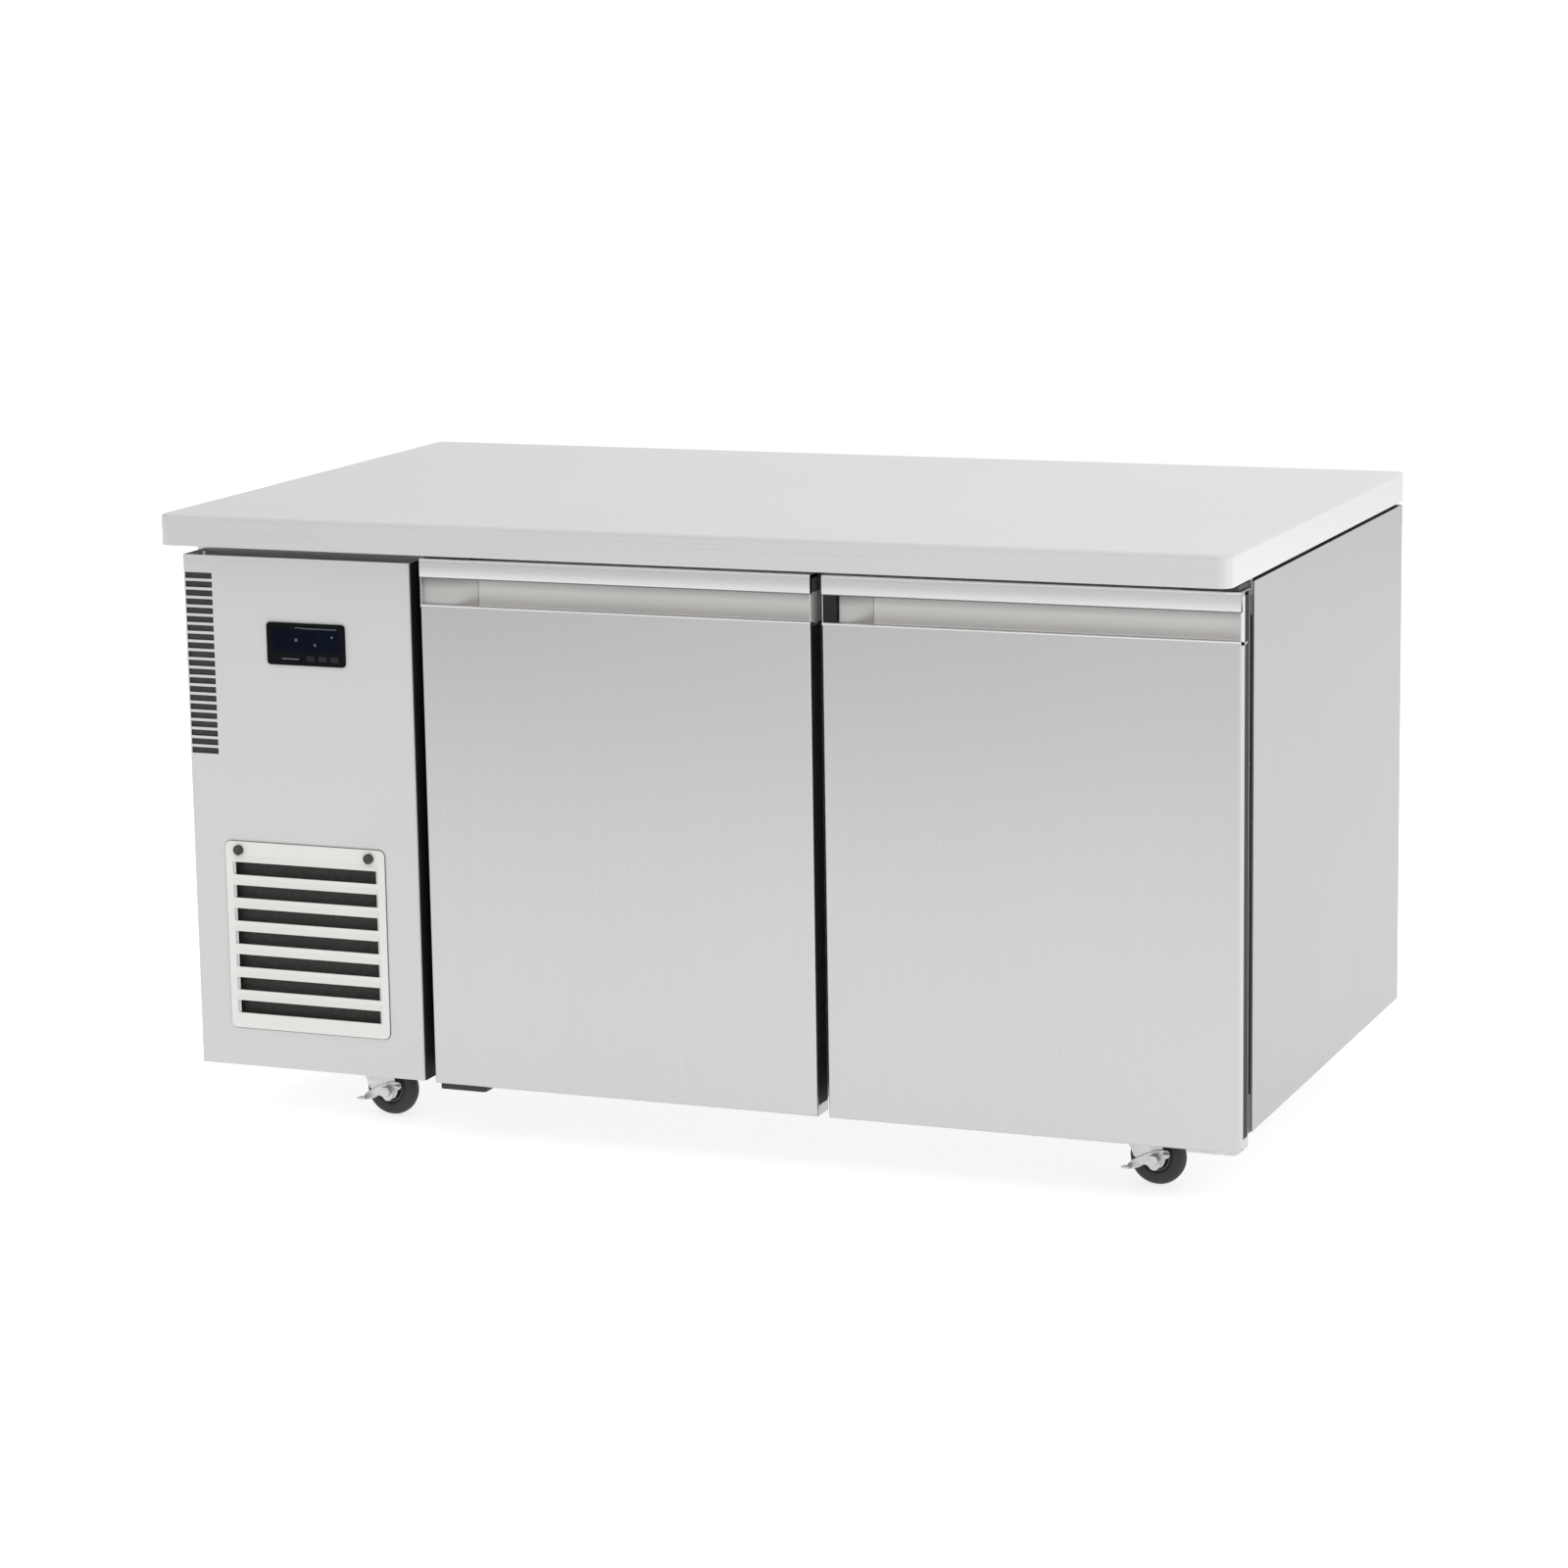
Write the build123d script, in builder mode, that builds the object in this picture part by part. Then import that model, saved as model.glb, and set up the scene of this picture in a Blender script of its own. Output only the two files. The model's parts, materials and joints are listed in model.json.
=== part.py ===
"""Two-door undercounter refrigerator with its machine compartment at the left end, on four casters.

Units are millimetres. +Z is up, the front faces -Y, and the origin is on the floor under the middle
of the worktop.
"""

import os

from build123d import *

# ---------------------------------------------------------------- driving dimensions
WIDTH = 1500.0
DEPTH = 870.0
HEIGHT = 850.0                       # floor to worktop
WORKTOP_T = 42.0
SHEET = 1.2                          # stainless sheet
CABINET_SETBACK = 108.0              # worktop edge to cabinet front
FACE_SETBACK = 48.0                  # worktop edge to the faces of the doors and control panel
BASE_Z = 98.0                        # underside of the base panel
DOOR_T = 40.0
DOOR_GAP = 16.0
DOOR_Z = (76.0, 797.0)
PANEL_Z = (78.0, 789.5)              # control panel
PANEL_INSET = 9.0
PANEL_W = 342.0
WALL = 45.0                          # insulated wall with its skins
BAY_Z = (142.0, 762.0)               # inside of the food compartment
MULLION_W, MULLION_D = 80.0, 42.0
HINGE_INSET = 16.0                   # door edge to hinge axis
PIN_R, PIN_CLEAR = 4.0, 0.05
SEAL_CLEAR = 0.3
WHEEL_R, WHEEL_W = 37.5, 24.0
CASTER_TRAIL = 27.0
FRONT_CASTER_SETBACK, REAR_CASTER_SETBACK = 142.0, 114.0
CASTER_INSETS = (229.0, 162.0)       # left and right casters from the ends of the worktop

# ---------------------------------------------------------------- planes worked out from them
LEFT, RIGHT = -WIDTH / 2, WIDTH / 2
EDGE_FRONT, EDGE_BACK = -DEPTH / 2, DEPTH / 2
WORKTOP_Z = HEIGHT - WORKTOP_T
CAB_FRONT = EDGE_FRONT + CABINET_SETBACK
CAB_BACK = EDGE_BACK - 1.0
SIDE_Z = (90.0, WORKTOP_Z - 5.0)
FACE = EDGE_FRONT + FACE_SETBACK
DOOR_BACK = FACE + DOOR_T
PANEL_X = (LEFT + PANEL_INSET, LEFT + PANEL_INSET + PANEL_W)
DOORS_LEFT = PANEL_X[1] + DOOR_GAP
DOOR_W = (RIGHT - DOORS_LEFT - DOOR_GAP) / 2
MULLION_X = DOORS_LEFT + DOOR_W + DOOR_GAP / 2
HINGE_Y = FACE + DOOR_T / 2
INNER_X = (LEFT + SHEET, RIGHT - SHEET)
INNER_Y = (CAB_FRONT + SHEET, CAB_BACK - 2 * SHEET)
BAY_X = (PANEL_X[1] + 51.0, RIGHT - WALL)
BAY_BACK = CAB_BACK - WALL
CASTER_X = (LEFT + CASTER_INSETS[0], RIGHT - CASTER_INSETS[1])
CASTER_Y = (EDGE_FRONT + FRONT_CASTER_SETBACK, EDGE_BACK - REAR_CASTER_SETBACK)

finished = []


# ---------------------------------------------------------------- helpers
def slab(x, y, z, mode=Mode.ADD):
    """Puts a box between pairs of x, y and z into the part being built."""
    centre = tuple((low + high) / 2 for low, high in (x, y, z))
    with Locations(centre):
        Box(x[1] - x[0], y[1] - y[0], z[1] - z[0], mode=mode)


def inset(pair, by):
    return (pair[0] + by, pair[1] - by)


def rod(start, radius, length, axis=(0, 0, 1), mode=Mode.ADD, bore=0.0):
    """Puts a cylinder, or a tube when it has a bore, from start along axis."""
    with BuildSketch(Plane(origin=start, z_dir=axis)) as section:
        Circle(radius)
        if bore:
            Circle(bore, mode=Mode.SUBTRACT)
    extrude(section.sketch, amount=length, mode=mode)


def across(x, outline, mode=Mode.ADD):
    """Extrudes a closed (y, z) outline between two x planes."""
    with BuildSketch(Plane.YZ.offset(x[0])) as section:
        with BuildLine():
            Polyline(*outline, close=True)
        make_face()
    extrude(section.sketch, amount=x[1] - x[0], mode=mode)


def window(x, z, depth_from, depth, corner, mode=Mode.SUBTRACT):
    """Extrudes a rounded rectangle that faces forward, from one y plane backwards."""
    centre = ((x[0] + x[1]) / 2, depth_from, (z[0] + z[1]) / 2)
    with BuildSketch(Plane(origin=centre, x_dir=(1, 0, 0), z_dir=(0, -1, 0))) as section:
        RectangleRounded(x[1] - x[0], z[1] - z[0], corner)
    extrude(section.sketch, amount=-depth, mode=mode)


def pipe(points, radius, bend):
    """Sweeps a round bar along straight runs joined by equal bends."""
    with BuildLine() as route:
        FilletPolyline(*points, radius=bend)
    with BuildSketch(Plane(origin=route.line @ 0, z_dir=route.line % 0)) as section:
        Circle(radius)
    sweep(section.sketch, path=route.line)


def finish(builder, name):
    builder.part.label = name
    finished.append(builder.part)


# ---------------------------------------------------------------- worktop
CORNER_R, EDGE_R = 16.0, 4.0
RETURN_W = 26.0                      # folded return under the edge
HOLLOW_X = (LEFT + RETURN_W, RIGHT - RETURN_W)
HOLLOW_Y = (EDGE_FRONT + RETURN_W, EDGE_BACK - RETURN_W)

with BuildPart() as worktop:
    slab((LEFT, RIGHT), (EDGE_FRONT, EDGE_BACK), (WORKTOP_Z, HEIGHT))
    fillet(worktop.edges().filter_by(Axis.Z).group_by(Axis.Y)[0], CORNER_R)
    fillet(worktop.faces().sort_by(Axis.Z)[-1].edges(), EDGE_R)
    slab(HOLLOW_X, HOLLOW_Y, (WORKTOP_Z, HEIGHT - SHEET), mode=Mode.SUBTRACT)
finish(worktop, "worktop")

with BuildPart() as worktop_core:
    slab(HOLLOW_X, HOLLOW_Y, (WORKTOP_Z, HEIGHT - SHEET))
finish(worktop_core, "worktop_core")

# Bearer bars carry the worktop and leave a shadow gap along the cabinet's sides.
BEARER_W, BEARER_INSET = 24.0, 7.0
BEARER_Z = (SIDE_Z[1], WORKTOP_Z)
with BuildPart() as worktop_bearers:
    for y in (CAB_FRONT, CAB_BACK - BEARER_INSET - BEARER_W):
        slab((LEFT + BEARER_INSET, RIGHT - BEARER_INSET), (y, y + BEARER_W), BEARER_Z)
    for x in (LEFT + BEARER_INSET, RIGHT - BEARER_INSET - BEARER_W):
        slab((x, x + BEARER_W), (CAB_FRONT + 2 * BEARER_W, CAB_BACK - 3 * BEARER_W), BEARER_Z)
finish(worktop_bearers, "worktop_bearers")

# ---------------------------------------------------------------- cabinet shell
SIDE_FLANGE = 20.0

for name, outside, inward in (("left_side_panel", LEFT, 1), ("right_side_panel", RIGHT, -1)):
    skin = sorted((outside, outside + inward * SHEET))
    flange = sorted((outside, outside + inward * SIDE_FLANGE))
    with BuildPart() as side_panel:
        slab(skin, (CAB_FRONT, CAB_BACK - SHEET), SIDE_Z)
        for y in (CAB_FRONT, CAB_BACK - 2 * SHEET):
            slab(flange, (y, y + SHEET), SIDE_Z)
    finish(side_panel, name)

# The top rail is stepped: its upper strip stands a little forward of its lower one.
RAIL_Z = (BAY_Z[1] - 2, WORKTOP_Z)
RAIL_STEP_Z = 786.0
RAIL_X = (LEFT + 3, RIGHT - 3)
LOWER_RAIL_Z = (88.0, BAY_Z[0] - 2)
with BuildPart() as front_rails:
    slab(RAIL_X, (CAB_FRONT - SHEET, CAB_FRONT), RAIL_Z)
    slab(RAIL_X, (CAB_FRONT - 3 * SHEET, CAB_FRONT - SHEET), (RAIL_STEP_Z, WORKTOP_Z))
    slab((PANEL_X[1], RIGHT - 3), (CAB_FRONT - SHEET, CAB_FRONT), LOWER_RAIL_Z)
finish(front_rails, "front_rails")

with BuildPart() as base_panel:
    slab(INNER_X, INNER_Y, (BASE_Z, BASE_Z + SHEET))
finish(base_panel, "base_panel")

VENT_ROWS, VENT_PITCH = 12, 20.0
BACK_VENT = (105.0, 8.0)
BACK_VENT_AT = (LEFT + 178.0, 460.0)
GLAND_R = 11.0
GLAND_X, GLAND_Z = LEFT + 60.0, 150.0

with BuildPart() as back_panel:
    slab((LEFT, RIGHT), (CAB_BACK - SHEET, CAB_BACK), SIDE_Z)
    vent_centre = (BACK_VENT_AT[0], CAB_BACK, BACK_VENT_AT[1])
    with BuildSketch(Plane(origin=vent_centre, x_dir=(1, 0, 0), z_dir=(0, 1, 0))):
        with GridLocations(BACK_VENT[0] + 15, VENT_PITCH, 2, VENT_ROWS):
            SlotOverall(*BACK_VENT)
    extrude(amount=-SHEET, mode=Mode.SUBTRACT)
    rod((GLAND_X, CAB_BACK, GLAND_Z), GLAND_R, SHEET, (0, -1, 0), mode=Mode.SUBTRACT)
finish(back_panel, "back_panel")

with BuildPart() as partition_panel:
    slab((PANEL_X[1], PANEL_X[1] + SHEET), INNER_Y, (BASE_Z + SHEET, SIDE_Z[1]))
finish(partition_panel, "partition_panel")

# The food compartment: a folded liner in five foam slabs.
LINER_T = 1.0
TUB_X = (BAY_X[0] - LINER_T, BAY_X[1] + LINER_T)
TUB_Z = (BAY_Z[0] - LINER_T, BAY_Z[1] + LINER_T)
FOAM_X = (PANEL_X[1] + SHEET, INNER_X[1])

with BuildPart() as inner_liner:
    slab(TUB_X, (INNER_Y[0], BAY_BACK + LINER_T), TUB_Z)
    slab(BAY_X, (INNER_Y[0], BAY_BACK), BAY_Z, mode=Mode.SUBTRACT)
finish(inner_liner, "inner_liner")

with BuildPart() as cabinet_insulation:
    slab(FOAM_X, INNER_Y, (BASE_Z + SHEET, TUB_Z[0]))
    slab(FOAM_X, INNER_Y, (TUB_Z[1], SIDE_Z[1]))
    slab((FOAM_X[0], TUB_X[0]), INNER_Y, TUB_Z)
    slab((TUB_X[1], FOAM_X[1]), INNER_Y, TUB_Z)
    slab(TUB_X, (BAY_BACK + LINER_T, INNER_Y[1]), TUB_Z)
finish(cabinet_insulation, "cabinet_insulation")

# The jambs are the faces that the hinge sides of the doors seal on. A strip ahead of the left one
# covers the side of the control panel.
BEND_R = 3.0
JAMB_T, JAMB_GAP = 1.5, 0.5
with BuildPart() as door_jambs:
    for x in ((PANEL_X[1], BAY_X[0]), (BAY_X[1], RIGHT - 3)):
        slab(x, (CAB_FRONT - SHEET, CAB_FRONT), (LOWER_RAIL_Z[1], RAIL_Z[0]))
    slab((PANEL_X[1], PANEL_X[1] + JAMB_T), (FACE + BEND_R, CAB_FRONT - SHEET - JAMB_GAP), PANEL_Z)
finish(door_jambs, "door_jambs")

with BuildPart() as centre_mullion:
    slab((MULLION_X - MULLION_W / 2, MULLION_X + MULLION_W / 2), (CAB_FRONT - SHEET, CAB_FRONT),
         (LOWER_RAIL_Z[1], RAIL_Z[0]))
    slab((MULLION_X - MULLION_W / 2, MULLION_X + MULLION_W / 2), (CAB_FRONT, CAB_FRONT + MULLION_D), BAY_Z)
finish(centre_mullion, "centre_mullion")

# ---------------------------------------------------------------- control panel and what it carries
PANEL_CX = (PANEL_X[0] + PANEL_X[1]) / 2
SLOTS, SLOT_PITCH, SLOT_TOP_Z = 21, 12.1, 761.0
SLOT = (41.0, 8.4)
SLOT_X = PANEL_X[0] + 3.0 + SLOT[0] / 2
GRILLE = (243.0, 263.0)
GRILLE_T = 2.0
GRILLE_X = (PANEL_CX - GRILLE[0] / 2, PANEL_CX + GRILLE[0] / 2)
GRILLE_Z = (132.0, 132.0 + GRILLE[1])
INTAKE_INSET = 14.0                  # grille edge to the hole behind it
HOUSING = (118.0, 58.0)
HOUSING_X = (PANEL_X[0] + 126.0, PANEL_X[0] + 126.0 + HOUSING[0])
HOUSING_Z = (644.0, 644.0 + HOUSING[1])
HOUSING_BODY_INSET, HOUSING_DEPTH = 6.0, 42.0


with BuildPart() as control_panel:
    slab(PANEL_X, (FACE, CAB_FRONT - 3 * SHEET), PANEL_Z)
    fillet(control_panel.edges().filter_by(Axis.Z).group_by(Axis.Y)[0], BEND_R)
    slab(inset(PANEL_X, SHEET), (FACE + SHEET, CAB_FRONT), (PANEL_Z[0] + SHEET, PANEL_Z[1]),
         mode=Mode.SUBTRACT)
    middle = SLOT_TOP_Z - (SLOTS - 1) * SLOT_PITCH / 2
    with BuildSketch(Plane(origin=(SLOT_X, FACE, middle), x_dir=(1, 0, 0), z_dir=(0, -1, 0))):
        with GridLocations(1, SLOT_PITCH, 1, SLOTS):
            RectangleRounded(*SLOT, 1.0)
    extrude(amount=-SHEET, mode=Mode.SUBTRACT)
    window(inset(GRILLE_X, INTAKE_INSET), inset(GRILLE_Z, INTAKE_INSET), FACE, SHEET, 4.0)
    window(inset(HOUSING_X, HOUSING_BODY_INSET), inset(HOUSING_Z, HOUSING_BODY_INSET), FACE, SHEET, 2.0)
finish(control_panel, "control_panel")

LOUVRES, LOUVRE_PITCH = 7, 32.5
LOUVRE = (222.0, 18.0)
LOUVRE_TOP = GRILLE_Z[1] - 29.0
RIB = 2.5                            # how far a louvre's rolled lip stands forward
SCREW_X = (GRILLE_X[0] + 21.0, GRILLE_X[1] - 23.0)
SCREW_Z = GRILLE_Z[1] - 12.0

with BuildPart() as intake_grille:
    window(GRILLE_X, GRILLE_Z, FACE - GRILLE_T, GRILLE_T, 9.0, mode=Mode.ADD)
    louvre_x = (PANEL_CX - LOUVRE[0] / 2, PANEL_CX + LOUVRE[0] / 2)
    for row in range(LOUVRES):
        top = LOUVRE_TOP - row * LOUVRE_PITCH
        window(louvre_x, (top - LOUVRE[1], top), FACE - GRILLE_T, GRILLE_T, 2.0)
        lip = FACE - GRILLE_T
        rolled = [(lip, top), (lip - RIB, top + 1), (lip - RIB, top + RIB), (lip, top + 9)]
        across(inset(louvre_x, 2.0), rolled)
finish(intake_grille, "intake_grille")

SCREW_R, SCREW_HEAD = 7.0, 5.0
with BuildPart() as grille_screws:
    for x in SCREW_X:
        rod((x, FACE - GRILLE_T, SCREW_Z), SCREW_R, SCREW_HEAD, (0, -1, 0))
    fillet(grille_screws.faces().filter_by(Axis.Y).group_by(Axis.Y)[0].edges(), 1.2)
finish(grille_screws, "grille_screws")

FILTER_Y = (FACE + 12.0, FACE + 18.0)
with BuildPart() as dust_filter:
    slab(inset(GRILLE_X, 4.0), FILTER_Y, inset(GRILLE_Z, 4.0))
finish(dust_filter, "dust_filter")

BEZEL_T = 2.5
WINDOW_X = (HOUSING_X[0] + 8.0, HOUSING_X[1] - 8.0)
WINDOW_Z = (HOUSING_Z[0] + 19.0, HOUSING_Z[1] - 9.0)
WINDOW_T = 1.0
KEY = (13.0, 8.0)
KEY_Z = HOUSING_Z[0] + 10.0
KEY_X = [HOUSING_X[1] - 16.0 - step * 18.0 for step in (2, 1, 0)]
KEY_PROUD, KEY_T, KEY_GAP = 0.6, 2.4, 0.3
KEY_BACK = FACE - BEZEL_T - KEY_PROUD + KEY_T
KEY_POCKET = KEY_BACK + 1.2 - (FACE - BEZEL_T)


def key_window(x, gap, start, depth, mode):
    half_w, half_h = KEY[0] / 2 + gap, KEY[1] / 2 + gap
    window((x - half_w, x + half_w), (KEY_Z - half_h, KEY_Z + half_h), start, depth, 1.5 + gap, mode)


with BuildPart() as controller_housing:
    window(HOUSING_X, HOUSING_Z, FACE - BEZEL_T, BEZEL_T, 5.0, mode=Mode.ADD)
    window(inset(HOUSING_X, HOUSING_BODY_INSET), inset(HOUSING_Z, HOUSING_BODY_INSET), FACE, HOUSING_DEPTH,
           2.0, mode=Mode.ADD)
    window(WINDOW_X, WINDOW_Z, FACE - BEZEL_T, WINDOW_T, 2.0)
    for x in KEY_X:
        key_window(x, KEY_GAP, FACE - BEZEL_T, KEY_POCKET, Mode.SUBTRACT)
finish(controller_housing, "controller_housing")

with BuildPart() as display_window:
    window(WINDOW_X, WINDOW_Z, FACE - BEZEL_T, WINDOW_T, 2.0, mode=Mode.ADD)
finish(display_window, "display_window")

for name, x in zip(("key_set", "key_up", "key_down"), KEY_X):
    with BuildPart() as key:
        key_window(x, 0.0, FACE - BEZEL_T - KEY_PROUD, KEY_T, Mode.ADD)
    finish(key, name)

# ---------------------------------------------------------------- machine compartment
FLOOR_Z = BASE_Z + SHEET
CONDENSER_Y = (CAB_FRONT + 12.0, CAB_FRONT + 60.0)
CONDENSER_X = (GRILLE_X[0] - 8.0, GRILLE_X[1] + 8.0)
CONDENSER_Z = (FLOOR_Z + 20.0, 400.0)
FIN_PITCH, FIN_T, TUBE_R = 6.0, 0.8, 4.5
TUBE_ROWS = 7

with BuildPart() as condenser:
    for x in (CONDENSER_X[0], CONDENSER_X[1] - 2.0):
        slab((x, x + 2.0), CONDENSER_Y, (FLOOR_Z, CONDENSER_Z[1]))
    fins = int((CONDENSER_X[1] - CONDENSER_X[0] - 12.0) / FIN_PITCH)
    for fin in range(fins):
        x = CONDENSER_X[0] + 8.0 + fin * FIN_PITCH
        slab((x, x + FIN_T), inset(CONDENSER_Y, 2.0), CONDENSER_Z)
    tube_y = sum(CONDENSER_Y) / 2
    for row in range(TUBE_ROWS):
        z = CONDENSER_Z[0] + 22.0 + row * 39.0
        rod((CONDENSER_X[0] - 6.0, tube_y, z), TUBE_R, CONDENSER_X[1] - CONDENSER_X[0] + 12.0, (1, 0, 0))
finish(condenser, "condenser")

FAN_X, FAN_Z = PANEL_CX, 255.0
FAN_HOLE_R, FAN_R = 112.0, 106.0
SHROUD_Y = (CONDENSER_Y[1], CONDENSER_Y[1] + 34.0)

with BuildPart() as condenser_fan_shroud:
    slab(CONDENSER_X, SHROUD_Y, (FLOOR_Z, CONDENSER_Z[1]))
    slab(inset(CONDENSER_X, 1.5), (SHROUD_Y[0], SHROUD_Y[1] - 1.5), (FLOOR_Z + 1.5, CONDENSER_Z[1] - 1.5),
         mode=Mode.SUBTRACT)
    rod((FAN_X, SHROUD_Y[1], FAN_Z), FAN_HOLE_R, 1.5, (0, -1, 0), mode=Mode.SUBTRACT)
    rod((FAN_X, SHROUD_Y[1], FAN_Z), FAN_HOLE_R + 1.5, 22.0, (0, -1, 0), bore=FAN_HOLE_R)
    for arm in range(3):
        with BuildSketch(Plane(origin=(FAN_X, SHROUD_Y[1], FAN_Z), z_dir=(0, 1, 0))):
            with Locations(Location((0, 0), 90 + arm * 120)):
                with Locations((FAN_HOLE_R / 2 + 10, 0)):
                    Rectangle(FAN_HOLE_R - 10, 8)
        extrude(amount=3.0)
finish(condenser_fan_shroud, "condenser_fan_shroud")

HUB_R, FAN_SHAFT_R = 22.0, 4.0
BLADES, BLADE_T, BLADE_PITCH = 5, 2.0, 28.0


def fan(name, hub_centre, axis, hub_r, hub_len, tip_r, chord, shaft_r):
    """A hub with pitched blades, bored for the motor's shaft."""
    with BuildPart() as rotor:
        plane = Plane(origin=hub_centre, z_dir=axis)
        rod(hub_centre, hub_r, hub_len, axis)
        for blade in range(BLADES):
            radial = plane.x_dir.rotate(Axis((0, 0, 0), axis), 360 / BLADES * blade)
            chordwise = plane.z_dir.rotate(Axis((0, 0, 0), radial), 90 - BLADE_PITCH)
            start = plane.from_local_coords((0, 0, hub_len / 2)) + radial * (hub_r - 3)
            with BuildSketch(Plane(origin=start, x_dir=chordwise, z_dir=radial)) as blade_section:
                Rectangle(chord, BLADE_T)
            extrude(blade_section.sketch, amount=tip_r - hub_r + 3)
        rod(hub_centre, shaft_r + PIN_CLEAR, hub_len, axis, mode=Mode.SUBTRACT)
    finish(rotor, name)


fan("condenser_fan", (FAN_X, SHROUD_Y[1] - 20.0, FAN_Z), (0, 1, 0), HUB_R, 14.0, FAN_R, 30.0, FAN_SHAFT_R)

COMPRESSOR_AT = (LEFT + 190.0, 215.0)
COMPRESSOR_R, COMPRESSOR_Z = 86.0, (FLOOR_Z + 16.0, FLOOR_Z + 206.0)
FOOT = (210.0, 130.0)
with BuildPart() as compressor:
    rod((*COMPRESSOR_AT, COMPRESSOR_Z[0] + 3.0), COMPRESSOR_R, COMPRESSOR_Z[1] - COMPRESSOR_Z[0] - 3.0)
    fillet(compressor.faces().sort_by(Axis.Z)[-1].edges(), 42.0)
    fillet(compressor.faces().sort_by(Axis.Z)[0].edges(), 20.0)
    rod((*COMPRESSOR_AT, FLOOR_Z + 108.0), COMPRESSOR_R + 3.0, 8.0)
    with BuildSketch(Plane.XY.offset(COMPRESSOR_Z[0])):
        with Locations(COMPRESSOR_AT):
            RectangleRounded(*FOOT, 14.0)
    extrude(amount=4.0)
finish(compressor, "compressor")

with BuildPart() as compressor_grommets:
    with BuildSketch(Plane.XY.offset(FLOOR_Z)):
        with Locations(COMPRESSOR_AT):
            with GridLocations(FOOT[0] - 30.0, FOOT[1] - 30.0, 2, 2):
                Circle(12.0)
    extrude(amount=COMPRESSOR_Z[0] - FLOOR_Z)
finish(compressor_grommets, "compressor_grommets")

# Copper lines: discharge to the condenser, liquid line with its drier, and suction from the evaporator.
LINE_R, SUCTION_R = 4.0, 5.0
STUB = 40.0                          # how far a line stands off the compressor before it turns up
PORT_Z = COMPRESSOR_Z[1] - 60.0
TOUCH = 0.2                          # lets a line overlap what it is brazed to
DISCHARGE_X, DISCHARGE_Y = COMPRESSOR_AT[0], COMPRESSOR_AT[1] - COMPRESSOR_R - TOUCH
SUCTION_X, SUCTION_Y = COMPRESSOR_AT[0] + COMPRESSOR_R + TOUCH, COMPRESSOR_AT[1]
HEADER_Y, HEADER_Z = CONDENSER_Y[1] - 24.0, 450.0
OUTLET_X, OUTLET_Z = CONDENSER_X[0] - 6.0, CONDENSER_Z[0] + 22.0
DRIER_X, DRIER_Y, DRIER_Z = CONDENSER_X[0] - 32.0, -60.0, (300.0, 410.0)
DRIER_R = 12.0
WALL_X = PANEL_X[1] - TOUCH
LIQUID_Z, SUCTION_Z = 640.0, 600.0

with BuildPart() as refrigerant_lines:
    pipe([(DISCHARGE_X, DISCHARGE_Y, PORT_Z), (DISCHARGE_X, DISCHARGE_Y - STUB, PORT_Z),
          (DISCHARGE_X, DISCHARGE_Y - STUB, HEADER_Z), (DISCHARGE_X, HEADER_Y, HEADER_Z),
          (DISCHARGE_X, HEADER_Y, CONDENSER_Z[1])], LINE_R, 20)
    pipe([(OUTLET_X, tube_y, OUTLET_Z), (DRIER_X, tube_y, OUTLET_Z), (DRIER_X, DRIER_Y, OUTLET_Z),
          (DRIER_X, DRIER_Y, DRIER_Z[0])], LINE_R, 12)
    rod((DRIER_X, DRIER_Y, DRIER_Z[0]), DRIER_R, DRIER_Z[1] - DRIER_Z[0])
    pipe([(DRIER_X, DRIER_Y, DRIER_Z[1]), (DRIER_X, DRIER_Y, LIQUID_Z), (WALL_X, DRIER_Y, LIQUID_Z)],
         LINE_R, 25)
    pipe([(SUCTION_X, SUCTION_Y, PORT_Z), (SUCTION_X + STUB, SUCTION_Y, PORT_Z),
          (SUCTION_X + STUB, SUCTION_Y, SUCTION_Z), (WALL_X, SUCTION_Y, SUCTION_Z)], SUCTION_R, 14)
finish(refrigerant_lines, "refrigerant_lines")

PAN_X, PAN_Y, PAN_H = (LEFT + 100.0, LEFT + 190.0), (-40.0, 110.0), 36.0
with BuildPart() as drain_pan:
    slab(PAN_X, PAN_Y, (FLOOR_Z, FLOOR_Z + PAN_H))
    slab(inset(PAN_X, 1.5), inset(PAN_Y, 1.5), (FLOOR_Z + 1.5, FLOOR_Z + PAN_H), mode=Mode.SUBTRACT)
finish(drain_pan, "drain_pan")

TERMINAL_BOX_X = (PANEL_X[1] - 62.0, PANEL_X[1])
TERMINAL_BOX_Y, TERMINAL_BOX_Z = (-220.0, -100.0), (520.0, 680.0)
GLAND_BORE, GLAND_NUT_R, GLAND_NUT_T, GLAND_NECK = 4.5, 14.0, 7.0, 8.0
with BuildPart() as electrical_fittings:
    slab(TERMINAL_BOX_X, TERMINAL_BOX_Y, TERMINAL_BOX_Z)
    fillet(electrical_fittings.faces().sort_by(Axis.X)[0].edges(), 5.0)
    gland_centre = (GLAND_X, CAB_BACK - SHEET - GLAND_NECK, GLAND_Z)
    rod(gland_centre, GLAND_R, GLAND_NECK + SHEET, (0, 1, 0))
    with BuildSketch(Plane(origin=gland_centre, z_dir=(0, -1, 0))):
        RegularPolygon(GLAND_NUT_R, 6)
    extrude(amount=GLAND_NUT_T)
    rod((GLAND_X, CAB_BACK, GLAND_Z), GLAND_BORE, GLAND_NECK + GLAND_NUT_T + SHEET, (0, -1, 0),
        mode=Mode.SUBTRACT)
finish(electrical_fittings, "electrical_fittings")

# ---------------------------------------------------------------- inside the food compartment
COVER_X = (BAY_X[0], BAY_X[0] + 78.0)
COVER_Y, COVER_Z = (-240.0, 300.0), (478.0, BAY_Z[1])
COVER_T = 1.2
EVAP_FAN_Y, EVAP_FAN_Z = -60.0, 616.0
EVAP_HOLE_R, EVAP_FAN_R = 70.0, 66.0
GUARD_BAR = 3.0

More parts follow.
